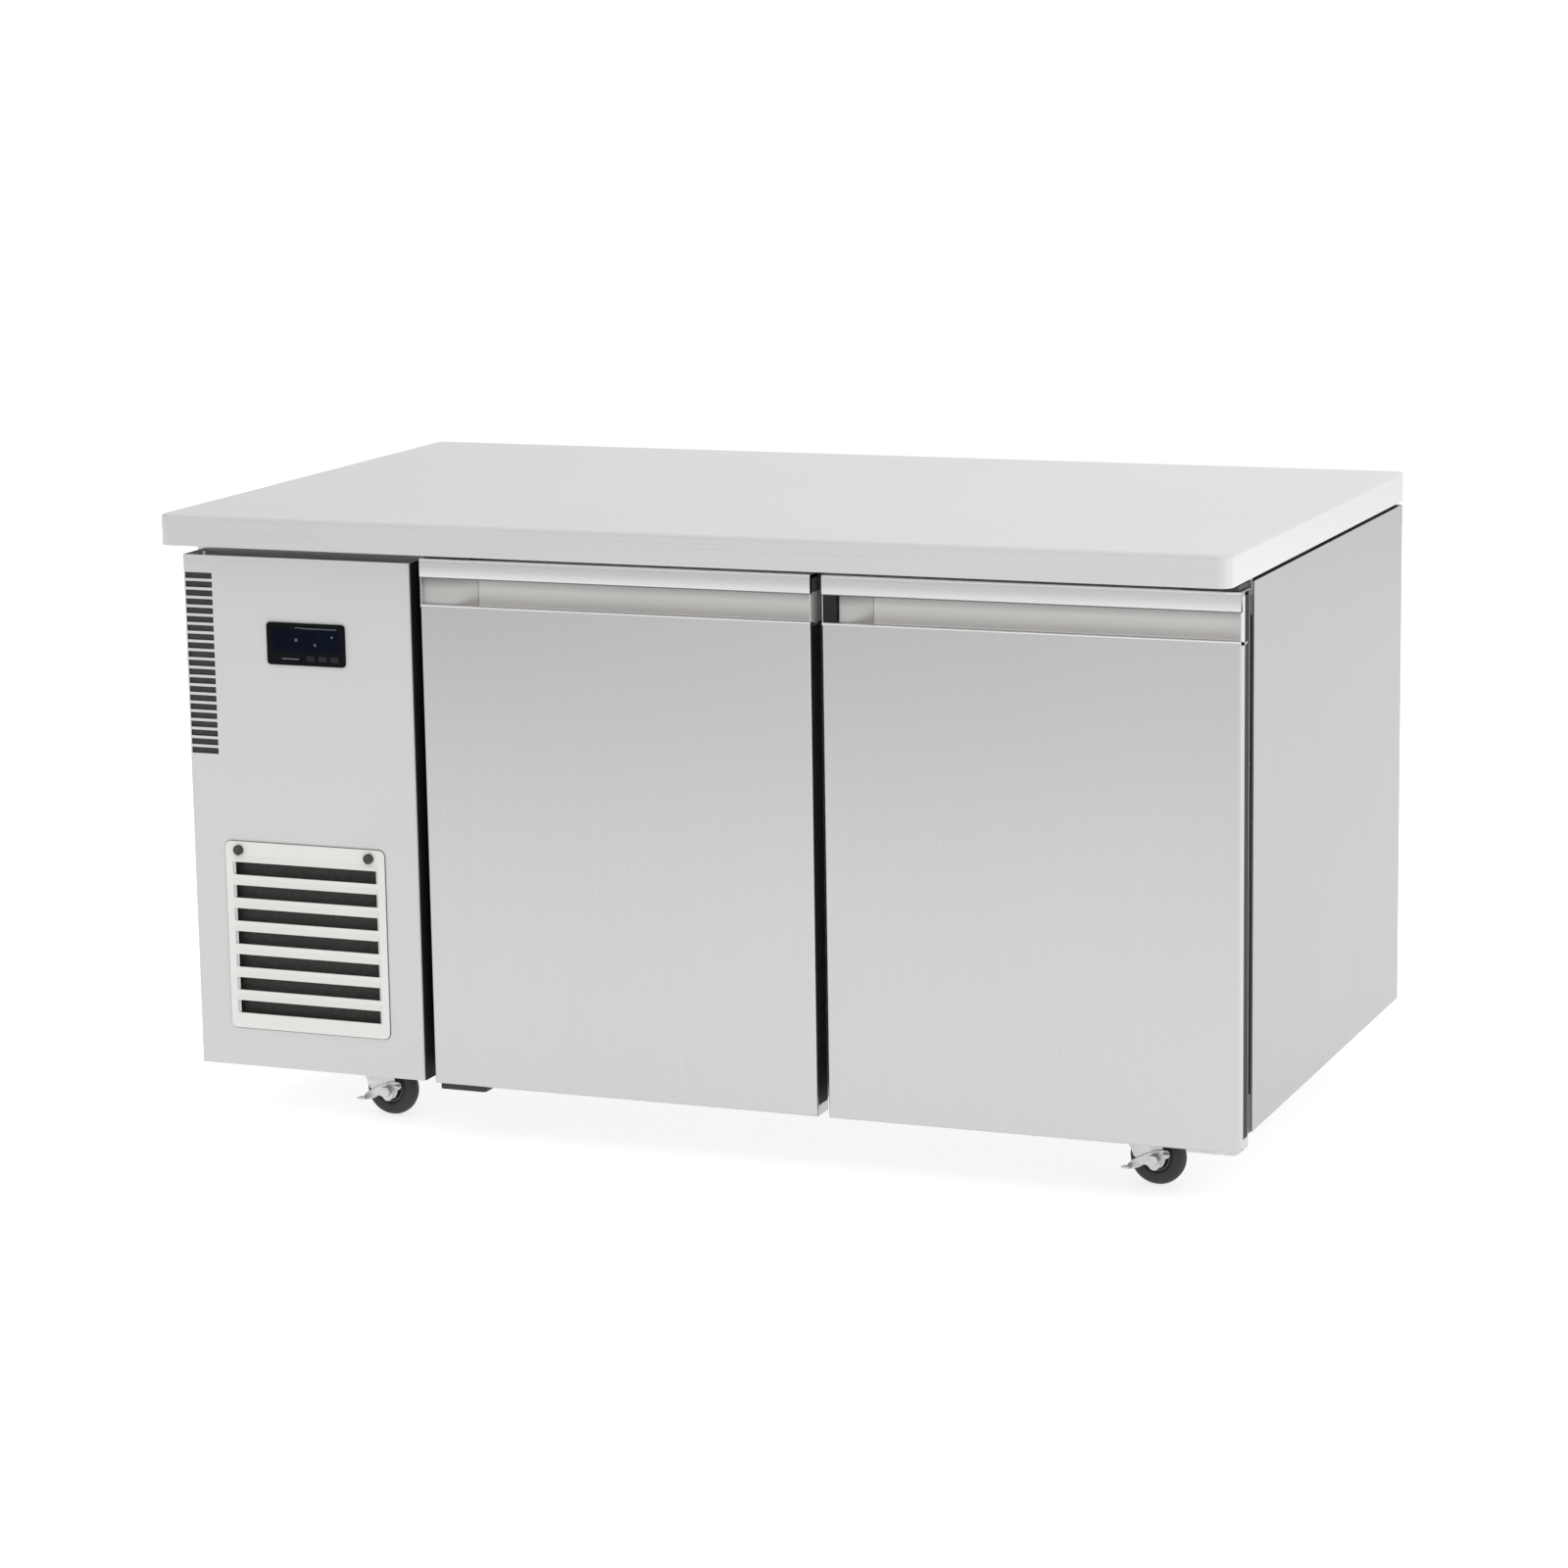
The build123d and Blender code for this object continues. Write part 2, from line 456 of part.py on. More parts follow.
with BuildPart() as evaporator_cover:
    slab(COVER_X, COVER_Y, COVER_Z)
    fillet(evaporator_cover.edges().filter_by(Axis.Y).group_by(Axis.X)[-1].sort_by(Axis.Z)[0], 10.0)
    slab((COVER_X[0], COVER_X[1] - COVER_T), inset(COVER_Y, COVER_T), (COVER_Z[0] + COVER_T, COVER_Z[1]),
         mode=Mode.SUBTRACT)
    rod((COVER_X[1], EVAP_FAN_Y, EVAP_FAN_Z), EVAP_HOLE_R, COVER_T, (-1, 0, 0), mode=Mode.SUBTRACT)
    for radius in (18.0, 35.0, 52.0):
        rod((COVER_X[1], EVAP_FAN_Y, EVAP_FAN_Z), radius + GUARD_BAR / 2, COVER_T, (-1, 0, 0),
            bore=radius - GUARD_BAR / 2)
    for turn in (0, 90):
        with BuildSketch(Plane(origin=(COVER_X[1], EVAP_FAN_Y, EVAP_FAN_Z), z_dir=(-1, 0, 0))):
            with Locations(Location((0, 0), turn + 45)):
                Rectangle(2 * EVAP_HOLE_R + 2, GUARD_BAR)
        extrude(amount=COVER_T)
    with BuildSketch(Plane(origin=(COVER_X[1], 170.0, EVAP_FAN_Z), x_dir=(0, 1, 0), z_dir=(1, 0, 0))):
        with GridLocations(1, 16.0, 1, 11):
            SlotOverall(130.0, 6.0)
    extrude(amount=-COVER_T, mode=Mode.SUBTRACT)
    slab((COVER_X[0] + 36, COVER_X[1] - COVER_T), (EVAP_FAN_Y - 10, EVAP_FAN_Y + 10),
         (COVER_Z[1] - 4, COVER_Z[1]))
finish(evaporator_cover, "evaporator_cover")

EVAP_Y, EVAP_Z = (-220.0, 280.0), (500.0, 740.0)
EVAP_D = 34.0
EVAP_FINS, EVAP_FIN_PITCH, EVAP_TUBES, EVAP_TUBE_PITCH = 48, 10.0, 6, 40.0
with BuildPart() as evaporator:
    for y in (EVAP_Y[0], EVAP_Y[1] - 2.0):
        slab((COVER_X[0], COVER_X[0] + EVAP_D), (y, y + 2.0), EVAP_Z)
    for fin in range(EVAP_FINS):
        y = EVAP_Y[0] + 12.0 + fin * EVAP_FIN_PITCH
        slab((COVER_X[0] + 2.0, COVER_X[0] + EVAP_D - 2.0), (y, y + FIN_T), EVAP_Z)
    for row in range(EVAP_TUBES):
        z = EVAP_Z[0] + EVAP_TUBE_PITCH * (row + 0.5)
        rod((COVER_X[0] + EVAP_D / 2, EVAP_Y[0], z), TUBE_R, EVAP_Y[1] - EVAP_Y[0], (0, 1, 0))
finish(evaporator, "evaporator")

EVAP_MOTOR_X, EVAP_SHAFT_R, EVAP_HUB_R = COVER_X[0] + 34.0, 3.0, 16.0
with BuildPart() as fan_motors:
    rod((EVAP_MOTOR_X, EVAP_FAN_Y, EVAP_FAN_Z), 22.0, 16.0, (1, 0, 0))
    rod((EVAP_MOTOR_X + 16.0, EVAP_FAN_Y, EVAP_FAN_Z), EVAP_SHAFT_R, 18.0, (1, 0, 0))
    rod((FAN_X, SHROUD_Y[1] + 3.0, FAN_Z), 34.0, 58.0, (0, 1, 0))
    rod((FAN_X, SHROUD_Y[1] + 3.0, FAN_Z), FAN_SHAFT_R, 28.0, (0, -1, 0))
finish(fan_motors, "fan_motors")

fan("evaporator_fan", (EVAP_MOTOR_X + 22.0, EVAP_FAN_Y, EVAP_FAN_Z), (1, 0, 0), EVAP_HUB_R, 12.0,
    EVAP_FAN_R, 22.0, EVAP_SHAFT_R)

SHELF_Z = 450.0                      # top of the shelves
FRAME_R, WIRE_R, WIRE_PITCH = 3.5, 2.0, 27.0
STRIP = (24.0, 6.0)
SHELF_Y = (CAB_FRONT + MULLION_D + 12.0, BAY_BACK - 14.0)
SHELF_EDGES = ((BAY_X[0] + 12.0, MULLION_X - 6.0), (MULLION_X + 6.0, BAY_X[1] - 12.0))

frame_z = SHELF_Z - FRAME_R - 2 * WIRE_R + 1
frame_y = inset(SHELF_Y, FRAME_R)

with BuildPart() as wire_shelves:
    for edges in SHELF_EDGES:
        frame_x = inset(edges, FRAME_R)
        for y in (*frame_y, sum(frame_y) / 2):
            rod((frame_x[0], y, frame_z), FRAME_R, frame_x[1] - frame_x[0], (1, 0, 0))
        for x in frame_x:
            rod((x, frame_y[0], frame_z), FRAME_R, frame_y[1] - frame_y[0], (0, 1, 0))
        wires = int((frame_x[1] - frame_x[0]) / WIRE_PITCH)
        spacing = (frame_x[1] - frame_x[0]) / wires
        for wire in range(1, wires):
            rod((frame_x[0] + wire * spacing, frame_y[0], frame_z + FRAME_R + WIRE_R - 1), WIRE_R,
                frame_y[1] - frame_y[0], (0, 1, 0))
finish(wire_shelves, "wire_shelves")

CLIP_Z = (frame_z - FRAME_R - 4.0, frame_z - FRAME_R)
CLIP_REACH = 20.0
STRIP_Z = (180.0, 470.0)
with BuildPart() as shelf_supports:
    for y in (-230.0, 250.0):
        for wall, inward in ((BAY_X[0], 1), (BAY_X[1], -1)):
            span = (y - STRIP[0] / 2, y + STRIP[0] / 2)
            slab(sorted((wall, wall + inward * STRIP[1])), span, STRIP_Z)
            slab(sorted((wall + inward * STRIP[1], wall + inward * CLIP_REACH)), inset(span, 4), CLIP_Z)
    for wall, inward in ((CAB_FRONT + MULLION_D, 1), (BAY_BACK, -1)):
        span = (MULLION_X - STRIP[0] / 2, MULLION_X + STRIP[0] / 2)
        slab(span, sorted((wall, wall + inward * STRIP[1])), STRIP_Z)
        slab(span, sorted((wall + inward * STRIP[1], wall + inward * CLIP_REACH)), CLIP_Z)
finish(shelf_supports, "shelf_supports")

# ---------------------------------------------------------------- doors
RECESS_Z = (733.5, 770.5)            # open mouth of the handle, below its lip
RECESS_D = 28.0
LIP_T, CAP_T = 7.0, 6.0
CHANNEL_T = 1.5
FOAM_TOP, FOAM_JOINT = 731.0, 0.2     # the foam is in two blocks, below and behind the recess
SKIN_TOP = RECESS_Z[0] - 1.5
SKIN_RETURN = 34.0                   # the skin's fold along the door's sides; a dark frame is behind it
GASKET_W = 18.0
GASKET_HINGE, GASKET_FREE, GASKET_TOP, GASKET_BOTTOM = 17.0, 13.0, 17.0, 20.0
BOTTOM_BORE = 15.0
CHANNEL_BACK = FACE + RECESS_D + CHANNEL_T

HANDLE_OUTLINE = [
    (FACE, RECESS_Z[0]), (FACE + RECESS_D, RECESS_Z[0] + 6), (FACE + RECESS_D, DOOR_Z[1] - CAP_T),
    (FACE + LIP_T, DOOR_Z[1] - CAP_T), (FACE + LIP_T, RECESS_Z[1] + 1), (FACE + LIP_T - 1, RECESS_Z[1]),
    (FACE + 1, RECESS_Z[1]), (FACE, RECESS_Z[1] + 1), (FACE, DOOR_Z[1] - 1), (FACE + 1, DOOR_Z[1]),
    (DOOR_BACK - SHEET, DOOR_Z[1]), (DOOR_BACK - SHEET, DOOR_Z[1] - SHEET), (CHANNEL_BACK, DOOR_Z[1] - SHEET),
    (CHANNEL_BACK, RECESS_Z[0] + 4.5), (FACE, SKIN_TOP)]

for side, x0, hinge_side in (("left", DOORS_LEFT, -1), ("right", DOORS_LEFT + DOOR_W + DOOR_GAP, 1)):
    door_x = (x0, x0 + DOOR_W)
    hinge_x = door_x[0] + HINGE_INSET if hinge_side < 0 else door_x[1] - HINGE_INSET
    inner_x = inset(door_x, SHEET)

    with BuildPart() as door_handle:
        across(door_x, HANDLE_OUTLINE)
        for end_x in ((door_x[0], inner_x[0]), (inner_x[1], door_x[1])):
            slab(end_x, (CHANNEL_BACK, DOOR_BACK - SHEET), (SKIN_TOP, DOOR_Z[1] - SHEET))
        rod((hinge_x, HINGE_Y, DOOR_Z[1]), PIN_R + PIN_CLEAR, CAP_T, (0, 0, -1), mode=Mode.SUBTRACT)
    finish(door_handle, f"{side}_door_handle")

    with BuildPart() as door_skin:
        slab(door_x, (FACE, FACE + SKIN_RETURN), (DOOR_Z[0], SKIN_TOP))
        fillet(door_skin.edges().filter_by(Axis.Z).group_by(Axis.Y)[0], 2.0)
        slab(inner_x, (FACE + SHEET, FACE + SKIN_RETURN), (DOOR_Z[0] + SHEET, SKIN_TOP),
             mode=Mode.SUBTRACT)
        rod((hinge_x, HINGE_Y, DOOR_Z[0]), PIN_R + PIN_CLEAR, SHEET, mode=Mode.SUBTRACT)
    finish(door_skin, f"{side}_door_skin")

    with BuildPart() as door_frame:
        ring_y = (FACE + SKIN_RETURN, DOOR_BACK - SHEET)
        slab(door_x, ring_y, (DOOR_Z[0], SKIN_TOP))
        slab(inner_x, ring_y, (DOOR_Z[0] + SHEET, SKIN_TOP), mode=Mode.SUBTRACT)
    finish(door_frame, f"{side}_door_frame")

    with BuildPart() as door_core:
        slab(inner_x, (FACE + SHEET, DOOR_BACK - SHEET), (DOOR_Z[0] + SHEET, FOAM_TOP))
        slab(inner_x, (CHANNEL_BACK, DOOR_BACK - SHEET), (FOAM_TOP + FOAM_JOINT, DOOR_Z[1] - SHEET))
        rod((hinge_x, HINGE_Y, DOOR_Z[0] + SHEET), PIN_R + PIN_CLEAR, BOTTOM_BORE, mode=Mode.SUBTRACT)
    finish(door_core, f"{side}_door_core")

    with BuildPart() as door_liner:
        slab(door_x, (DOOR_BACK - SHEET, DOOR_BACK), DOOR_Z)
    finish(door_liner, f"{side}_door_liner")

    insets = (GASKET_HINGE, GASKET_FREE) if hinge_side < 0 else (GASKET_FREE, GASKET_HINGE)
    seal_x = (door_x[0] + insets[0], door_x[1] - insets[1])
    seal_z = (DOOR_Z[0] + GASKET_BOTTOM, DOOR_Z[1] - GASKET_TOP)
    seal_y = (DOOR_BACK, CAB_FRONT - SHEET - SEAL_CLEAR)
    with BuildPart() as door_gasket:
        slab(seal_x, seal_y, seal_z)
        fillet(door_gasket.faces().sort_by(Axis.Y)[-1].edges(), 4.0)
        slab(inset(seal_x, GASKET_W), seal_y, inset(seal_z, GASKET_W), mode=Mode.SUBTRACT)
    finish(door_gasket, f"{side}_door_gasket")

# ---------------------------------------------------------------- hinge brackets with their pins
BRACKET_W, BRACKET_D = 68.0, 53.0
UPPER_T, LOWER_T = 6.0, 8.0
BRACKET_CLEAR = 0.6
FLANGE_T = 2.5
UPPER_PIN, LOWER_PIN = 5.5, 14.0
PIN_HEAD_R, PIN_HEAD_T = 6.5, 2.5
BRACKET_BACK = CAB_FRONT - SHEET
BRACKET_SPANS = ((DOORS_LEFT + 5, DOORS_LEFT + 5 + BRACKET_W), (RIGHT - 5 - BRACKET_W, RIGHT - 5))
HINGE_X = (DOORS_LEFT + HINGE_INSET, RIGHT - HINGE_INSET)

with BuildPart() as hinge_brackets:
    low = DOOR_Z[1] + BRACKET_CLEAR
    high = DOOR_Z[0] - BRACKET_CLEAR
    rail_face = BRACKET_BACK - 2 * SHEET
    for span, x in zip(BRACKET_SPANS, HINGE_X):
        slab(span, (rail_face - BRACKET_D, rail_face), (low, low + UPPER_T))
        slab(span, (rail_face - 8, rail_face), (low, WORKTOP_Z - 1))
        rod((x, HINGE_Y, low), PIN_R, UPPER_PIN, (0, 0, -1))
        slab(span, (BRACKET_BACK - BRACKET_D, BRACKET_BACK), (high - LOWER_T, high))
        slab(span, (BRACKET_BACK - FLANGE_T, BRACKET_BACK), (high - LOWER_T, BASE_Z - 2))
        rod((x, HINGE_Y, high), PIN_R, LOWER_PIN)
        rod((x, HINGE_Y, high - LOWER_T), PIN_HEAD_R, PIN_HEAD_T, (0, 0, -1))
finish(hinge_brackets, "hinge_brackets")

# ---------------------------------------------------------------- casters
PLATE = (84.0, 60.0, 3.0)
RACE_R, CROWN_R = 22.0, 29.0
CROWN_X = (-24.0, 26.0)              # the flat of the crown, from the swivel axis
RACE_Z = (91.3, BASE_Z - PLATE[2])
CROWN_Z = (82.0, 85.0)
DOME_Z = 91.0
KING_R, KING_HEAD = 5.0, (78.8, 81.7)
LEG_IN, LEG_T = 14.0, 2.5
AXLE_R, AXLE_HEAD_R, COLLAR_R = 4.0, 8.0, 6.0
LEVER_T = 2.5
LEVER_GAP = 0.3

with BuildPart() as caster_plates:
    for x in CASTER_X:
        for y in CASTER_Y:
            with BuildSketch(Plane.XY.offset(RACE_Z[1])):
                with Locations((x, y)):
                    RectangleRounded(PLATE[0], PLATE[1], 5.0)
            extrude(amount=PLATE[2])
            rod((x, y, RACE_Z[0]), RACE_R, RACE_Z[1] - RACE_Z[0])
            rod((x, y, KING_HEAD[0]), KING_R, RACE_Z[0] - KING_HEAD[0])
            rod((x, y, KING_HEAD[0]), KING_R + 3, KING_HEAD[1] - KING_HEAD[0])
            for bolt_x in (x - 33, x + 33):
                for bolt_y in (y - 21, y + 21):
                    with BuildSketch(Plane.XY.offset(RACE_Z[1])):
                        with Locations((bolt_x, bolt_y)):
                            RegularPolygon(6.0, 6)
                    extrude(amount=-5.0)
finish(caster_plates, "caster_plates")

for end, y in (("front", CASTER_Y[0]), ("rear", CASTER_Y[1])):
    for side, x in (("left", CASTER_X[0]), ("right", CASTER_X[1])):
        name = f"{end}_{side}"
        axle_x, axle_z = x + CASTER_TRAIL, WHEEL_R
        leg_outline = [(x + CROWN_X[0] - 2, CROWN_Z[0] + 1), (x + CROWN_X[1] + 1, CROWN_Z[0] + 1),
                       (axle_x + 13, axle_z + 8), (axle_x + 9, axle_z - 9), (axle_x - 8, axle_z - 10),
                       (axle_x - 14, axle_z + 3), (x - 19, CROWN_Z[0] - 20)]

        with BuildPart() as caster_fork:
            rod((x, y, CROWN_Z[0]), CROWN_R, DOME_Z - CROWN_Z[0])
            fillet(caster_fork.faces().sort_by(Axis.Z)[-1].edges(), 2.0)
            slab((x + CROWN_X[0], x + CROWN_X[1]), (y - LEG_IN - LEG_T, y + LEG_IN + LEG_T), CROWN_Z)
            for leg_y in (y - LEG_IN - LEG_T, y + LEG_IN):
                with BuildSketch(Plane.XZ.offset(-leg_y)):
                    with BuildLine():
                        Polyline(*leg_outline, close=True)
                    make_face()
                extrude(amount=-LEG_T)
            rod((x, y, KING_HEAD[1] - 10), KING_R + PIN_CLEAR, 40, mode=Mode.SUBTRACT)
            rod((x, y, KING_HEAD[1] - 10), KING_R + 3.4, 10.5, mode=Mode.SUBTRACT)
            rod((axle_x, y - LEG_IN - LEG_T, axle_z), AXLE_R, 2 * (LEG_IN + LEG_T), (0, 1, 0))
            rod((axle_x, y + LEG_IN + LEG_T, axle_z), AXLE_HEAD_R, 5.0, (0, 1, 0))
            outer = y - LEG_IN - LEG_T
            collar = LEVER_T + 2 * LEVER_GAP if end == "front" else 0.5
            rod((axle_x, outer, axle_z), COLLAR_R, collar, (0, -1, 0))
            rod((axle_x, outer - collar, axle_z), AXLE_HEAD_R, 4.0, (0, -1, 0))
        finish(caster_fork, f"{name}_caster_fork")

        with BuildPart() as caster_wheel:
            rod((axle_x, y - WHEEL_W / 2, axle_z), WHEEL_R, WHEEL_W, (0, 1, 0))
            fillet(caster_wheel.faces().filter_by(Axis.Y).edges(), 5.0)
            for face_y, inward in ((y - WHEEL_W / 2, 1), (y + WHEEL_W / 2, -1)):
                rod((axle_x, face_y, axle_z), 25.0, 3.0, (0, inward, 0), mode=Mode.SUBTRACT)
            rod((axle_x, y - LEG_IN + 0.3, axle_z), 9.0, 2 * (LEG_IN - 0.3), (0, 1, 0))
            rod((axle_x, y - LEG_IN, axle_z), AXLE_R + PIN_CLEAR, 2 * LEG_IN, (0, 1, 0), mode=Mode.SUBTRACT)
        finish(caster_wheel, f"{name}_caster_wheel")

        if end == "front":
            near = outer - LEVER_GAP
            with BuildPart() as brake_lever:
                arm = [(axle_x - 37, axle_z - 10), (axle_x - 30, axle_z - 3), (axle_x - 8, axle_z + 7),
                       (axle_x + 18, axle_z + 12), (axle_x + 20, axle_z + 3), (axle_x + 9, axle_z - 2),
                       (axle_x + 5, axle_z - 12), (axle_x - 9, axle_z - 12), (axle_x - 20, axle_z - 12),
                       (axle_x - 33, axle_z - 16)]
                with BuildSketch(Plane.XZ.offset(-near)):
                    with BuildLine():
                        Polyline(*arm, close=True)
                    make_face()
                extrude(amount=LEVER_T)
                slab((axle_x - 43, axle_x - 30), (near - 14, near), (axle_z - 14, axle_z - 11))
                slab((axle_x + 13, axle_x + 20), (near - 10, near), (axle_z + 7, axle_z + 10))
                rod((axle_x, near, axle_z), COLLAR_R + PIN_CLEAR, LEVER_T, (0, -1, 0), mode=Mode.SUBTRACT)
            finish(brake_lever, f"{side}_brake_lever")

# ---------------------------------------------------------------- export
os.makedirs("parts", exist_ok=True)
for piece in finished:
    export_step(piece, f"parts/{piece.label}.step")
print(len(finished), "parts")
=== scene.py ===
import json
import math
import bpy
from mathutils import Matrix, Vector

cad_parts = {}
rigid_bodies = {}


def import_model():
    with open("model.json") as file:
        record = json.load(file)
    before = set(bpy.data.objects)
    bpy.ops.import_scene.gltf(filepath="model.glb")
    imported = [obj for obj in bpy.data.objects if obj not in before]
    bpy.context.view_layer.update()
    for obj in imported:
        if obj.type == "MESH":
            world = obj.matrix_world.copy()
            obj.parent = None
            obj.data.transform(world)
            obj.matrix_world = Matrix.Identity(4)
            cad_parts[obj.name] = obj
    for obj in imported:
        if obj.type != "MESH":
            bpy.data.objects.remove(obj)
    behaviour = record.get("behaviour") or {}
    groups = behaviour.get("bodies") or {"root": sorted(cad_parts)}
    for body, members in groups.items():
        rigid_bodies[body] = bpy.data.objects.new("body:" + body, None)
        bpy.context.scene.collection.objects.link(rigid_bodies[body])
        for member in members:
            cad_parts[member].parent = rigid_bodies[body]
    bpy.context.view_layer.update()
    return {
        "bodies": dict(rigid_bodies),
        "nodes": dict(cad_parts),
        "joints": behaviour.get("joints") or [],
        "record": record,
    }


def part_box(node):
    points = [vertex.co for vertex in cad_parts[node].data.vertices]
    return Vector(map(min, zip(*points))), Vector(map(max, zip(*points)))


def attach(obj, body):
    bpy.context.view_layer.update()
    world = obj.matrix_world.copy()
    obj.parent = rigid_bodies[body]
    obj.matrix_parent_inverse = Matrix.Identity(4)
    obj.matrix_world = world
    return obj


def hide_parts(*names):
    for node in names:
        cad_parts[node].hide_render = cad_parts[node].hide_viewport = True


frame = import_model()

from types import SimpleNamespace

import bmesh
import bpy
from mathutils import Matrix, Vector

scene = bpy.context.scene
nodes = frame["nodes"]
MM = 0.001
SIDES, ENDS = ("left", "right"), ("front", "rear")
HANDLE_MOUTH = (1.5 * MM, 38.5 * MM)  # the recess's open height, from the bottom of the handle


# ------------------------------------------------------------------ camera
CAMERA_AT = (2.2728, -5.7296, 1.6345)
CAMERA_AZIMUTH, CAMERA_ELEVATION, CAMERA_ROLL = 21.803, 10.957, -0.913
LENS_MM, SENSOR_MM = 103.41, 36.0


def make_camera():
    """A level-looking camera turned about its own axis by a small roll."""
    azimuth, elevation, roll = map(math.radians, (CAMERA_AZIMUTH, CAMERA_ELEVATION, CAMERA_ROLL))
    ahead = Vector((-math.sin(azimuth) * math.cos(elevation), math.cos(azimuth) * math.cos(elevation),
                    -math.sin(elevation)))
    level = Vector((math.cos(azimuth), math.sin(azimuth), 0.0))
    right = level * math.cos(roll) + level.cross(ahead) * math.sin(roll)
    up = right.cross(ahead)
    data = bpy.data.cameras.new("camera")
    data.lens, data.sensor_width, data.sensor_fit = LENS_MM, SENSOR_MM, "HORIZONTAL"
    data.clip_start, data.clip_end = 0.1, 400.0
    camera = bpy.data.objects.new("camera", data)
    scene.collection.objects.link(camera)
    turn = Matrix((right, up, -ahead)).transposed().to_4x4()
    camera.matrix_world = Matrix.Translation(CAMERA_AT) @ turn
    scene.camera = camera


make_camera()


# ------------------------------------------------------------------ materials
def shader_tree(name):
    """An empty material with one Principled shader."""
    made = bpy.data.materials.new(name)
    made.use_nodes = True
    tree = made.node_tree
    tree.nodes.clear()
    out = tree.nodes.new("ShaderNodeOutputMaterial")
    shader = tree.nodes.new("ShaderNodeBsdfPrincipled")
    tree.links.new(shader.outputs[0], out.inputs[0])
    return made, tree, shader


def noise(tree, stretch, detail=3.0, roughness=0.5):
    """Noise in object coordinates; stretch is how many features fit in a metre along each axis."""
    place = tree.nodes.new("ShaderNodeTexCoord")
    mapping = tree.nodes.new("ShaderNodeMapping")
    if not isinstance(stretch, tuple):
        stretch = (stretch,) * 3
    mapping.inputs["Scale"].default_value = stretch
    grain = tree.nodes.new("ShaderNodeTexNoise")
    grain.inputs["Scale"].default_value = 1.0
    grain.inputs["Detail"].default_value = detail
    grain.inputs["Roughness"].default_value = roughness
    tree.links.new(place.outputs["Object"], mapping.inputs["Vector"])
    tree.links.new(mapping.outputs["Vector"], grain.inputs["Vector"])
    return grain.outputs["Fac"]


def spread(tree, value, low, high, span=(0.3, 0.7)):
    """Maps value over span to the range from low to high."""
    remap = tree.nodes.new("ShaderNodeMapRange")
    remap.inputs["From Min"].default_value, remap.inputs["From Max"].default_value = span
    remap.inputs["To Min"].default_value, remap.inputs["To Max"].default_value = low, high
    tree.links.new(value, remap.inputs["Value"])
    return remap.outputs["Result"]


def two_tone(tree, value, dark, light, span=(0.3, 0.7)):
    """Mixes two colours by value."""
    ramp = tree.nodes.new("ShaderNodeValToRGB")
    ramp.color_ramp.elements[0].position, ramp.color_ramp.elements[1].position = span
    ramp.color_ramp.elements[0].color = (*dark, 1.0)
    ramp.color_ramp.elements[1].color = (*light, 1.0)
    tree.links.new(value, ramp.inputs["Fac"])
    return ramp.outputs["Color"]


def bump(tree, shader, value, distance, strength=1.0):
    node = tree.nodes.new("ShaderNodeBump")
    node.inputs["Strength"].default_value = strength
    node.inputs["Distance"].default_value = distance
    tree.links.new(value, node.inputs["Height"])
    tree.links.new(node.outputs["Normal"], shader.inputs["Normal"])


def shades(colour, amount):
    """A darker and a lighter version of a colour."""
    return tuple(c * (1 - amount) for c in colour), tuple(min(1.0, c * (1 + amount)) for c in colour)


def surface(name, colour, rough, metallic=0.0, mottle=(3.0, 0.03), grain=120.0, relief=0.0,
            **sockets):
    """Principled material with a broad colour mottle, and one grain noise for roughness and relief.

    rough is the range of roughness, mottle its scale and amount, grain the noise's scale along each
    axis, and relief the height of the bumps in metres.
    """
    made, tree, shader = shader_tree(name)
    scale, amount = mottle
    mottled = two_tone(tree, noise(tree, scale, 2.0), *shades(colour, amount))
    tree.links.new(mottled, shader.inputs["Base Color"])
    fine = noise(tree, grain, 4.0)
    tree.links.new(spread(tree, fine, *rough), shader.inputs["Roughness"])
    if relief:
        bump(tree, shader, fine, relief)
    shader.inputs["Metallic"].default_value = metallic
    for socket, value in sockets.items():
        shader.inputs[socket.replace("_", " ")].default_value = value
    return made


def darken_upwards(made, start_z, end_z, darkest):
    """Scales a finish's own colour down towards end_z, where an overhang keeps the light off."""
    tree = made.node_tree
    base = next(node for node in tree.nodes if node.type == "BSDF_PRINCIPLED").inputs["Base Color"]
    split = tree.nodes.new("ShaderNodeSeparateXYZ")
    tree.links.new(tree.nodes.new("ShaderNodeTexCoord").outputs["Object"], split.inputs[0])
    scale = tree.nodes.new("ShaderNodeVectorMath")
    scale.operation = "SCALE"
    tree.links.new(base.links[0].from_socket, scale.inputs[0])
    fade = spread(tree, split.outputs["Z"], 1.0, darkest, (start_z, end_z))
    tree.links.new(fade, scale.inputs["Scale"])
    tree.links.new(scale.outputs[0], base)


ALONG_X, ALONG_Z = (3.0, 900.0, 900.0), (900.0, 900.0, 3.0)
# painted light and shade: the worktop's steel is a lighter and the side panels' a darker copy of the
# doors' steel, for how the light falls on top and side
WORKTOP_STEEL_PAINTED_LIGHTER, DOOR_STEEL = (0.735, 0.735, 0.735), (0.56, 0.562, 0.565)
SIDE_STEEL_PAINTED_DARKER = (0.435, 0.435, 0.435)

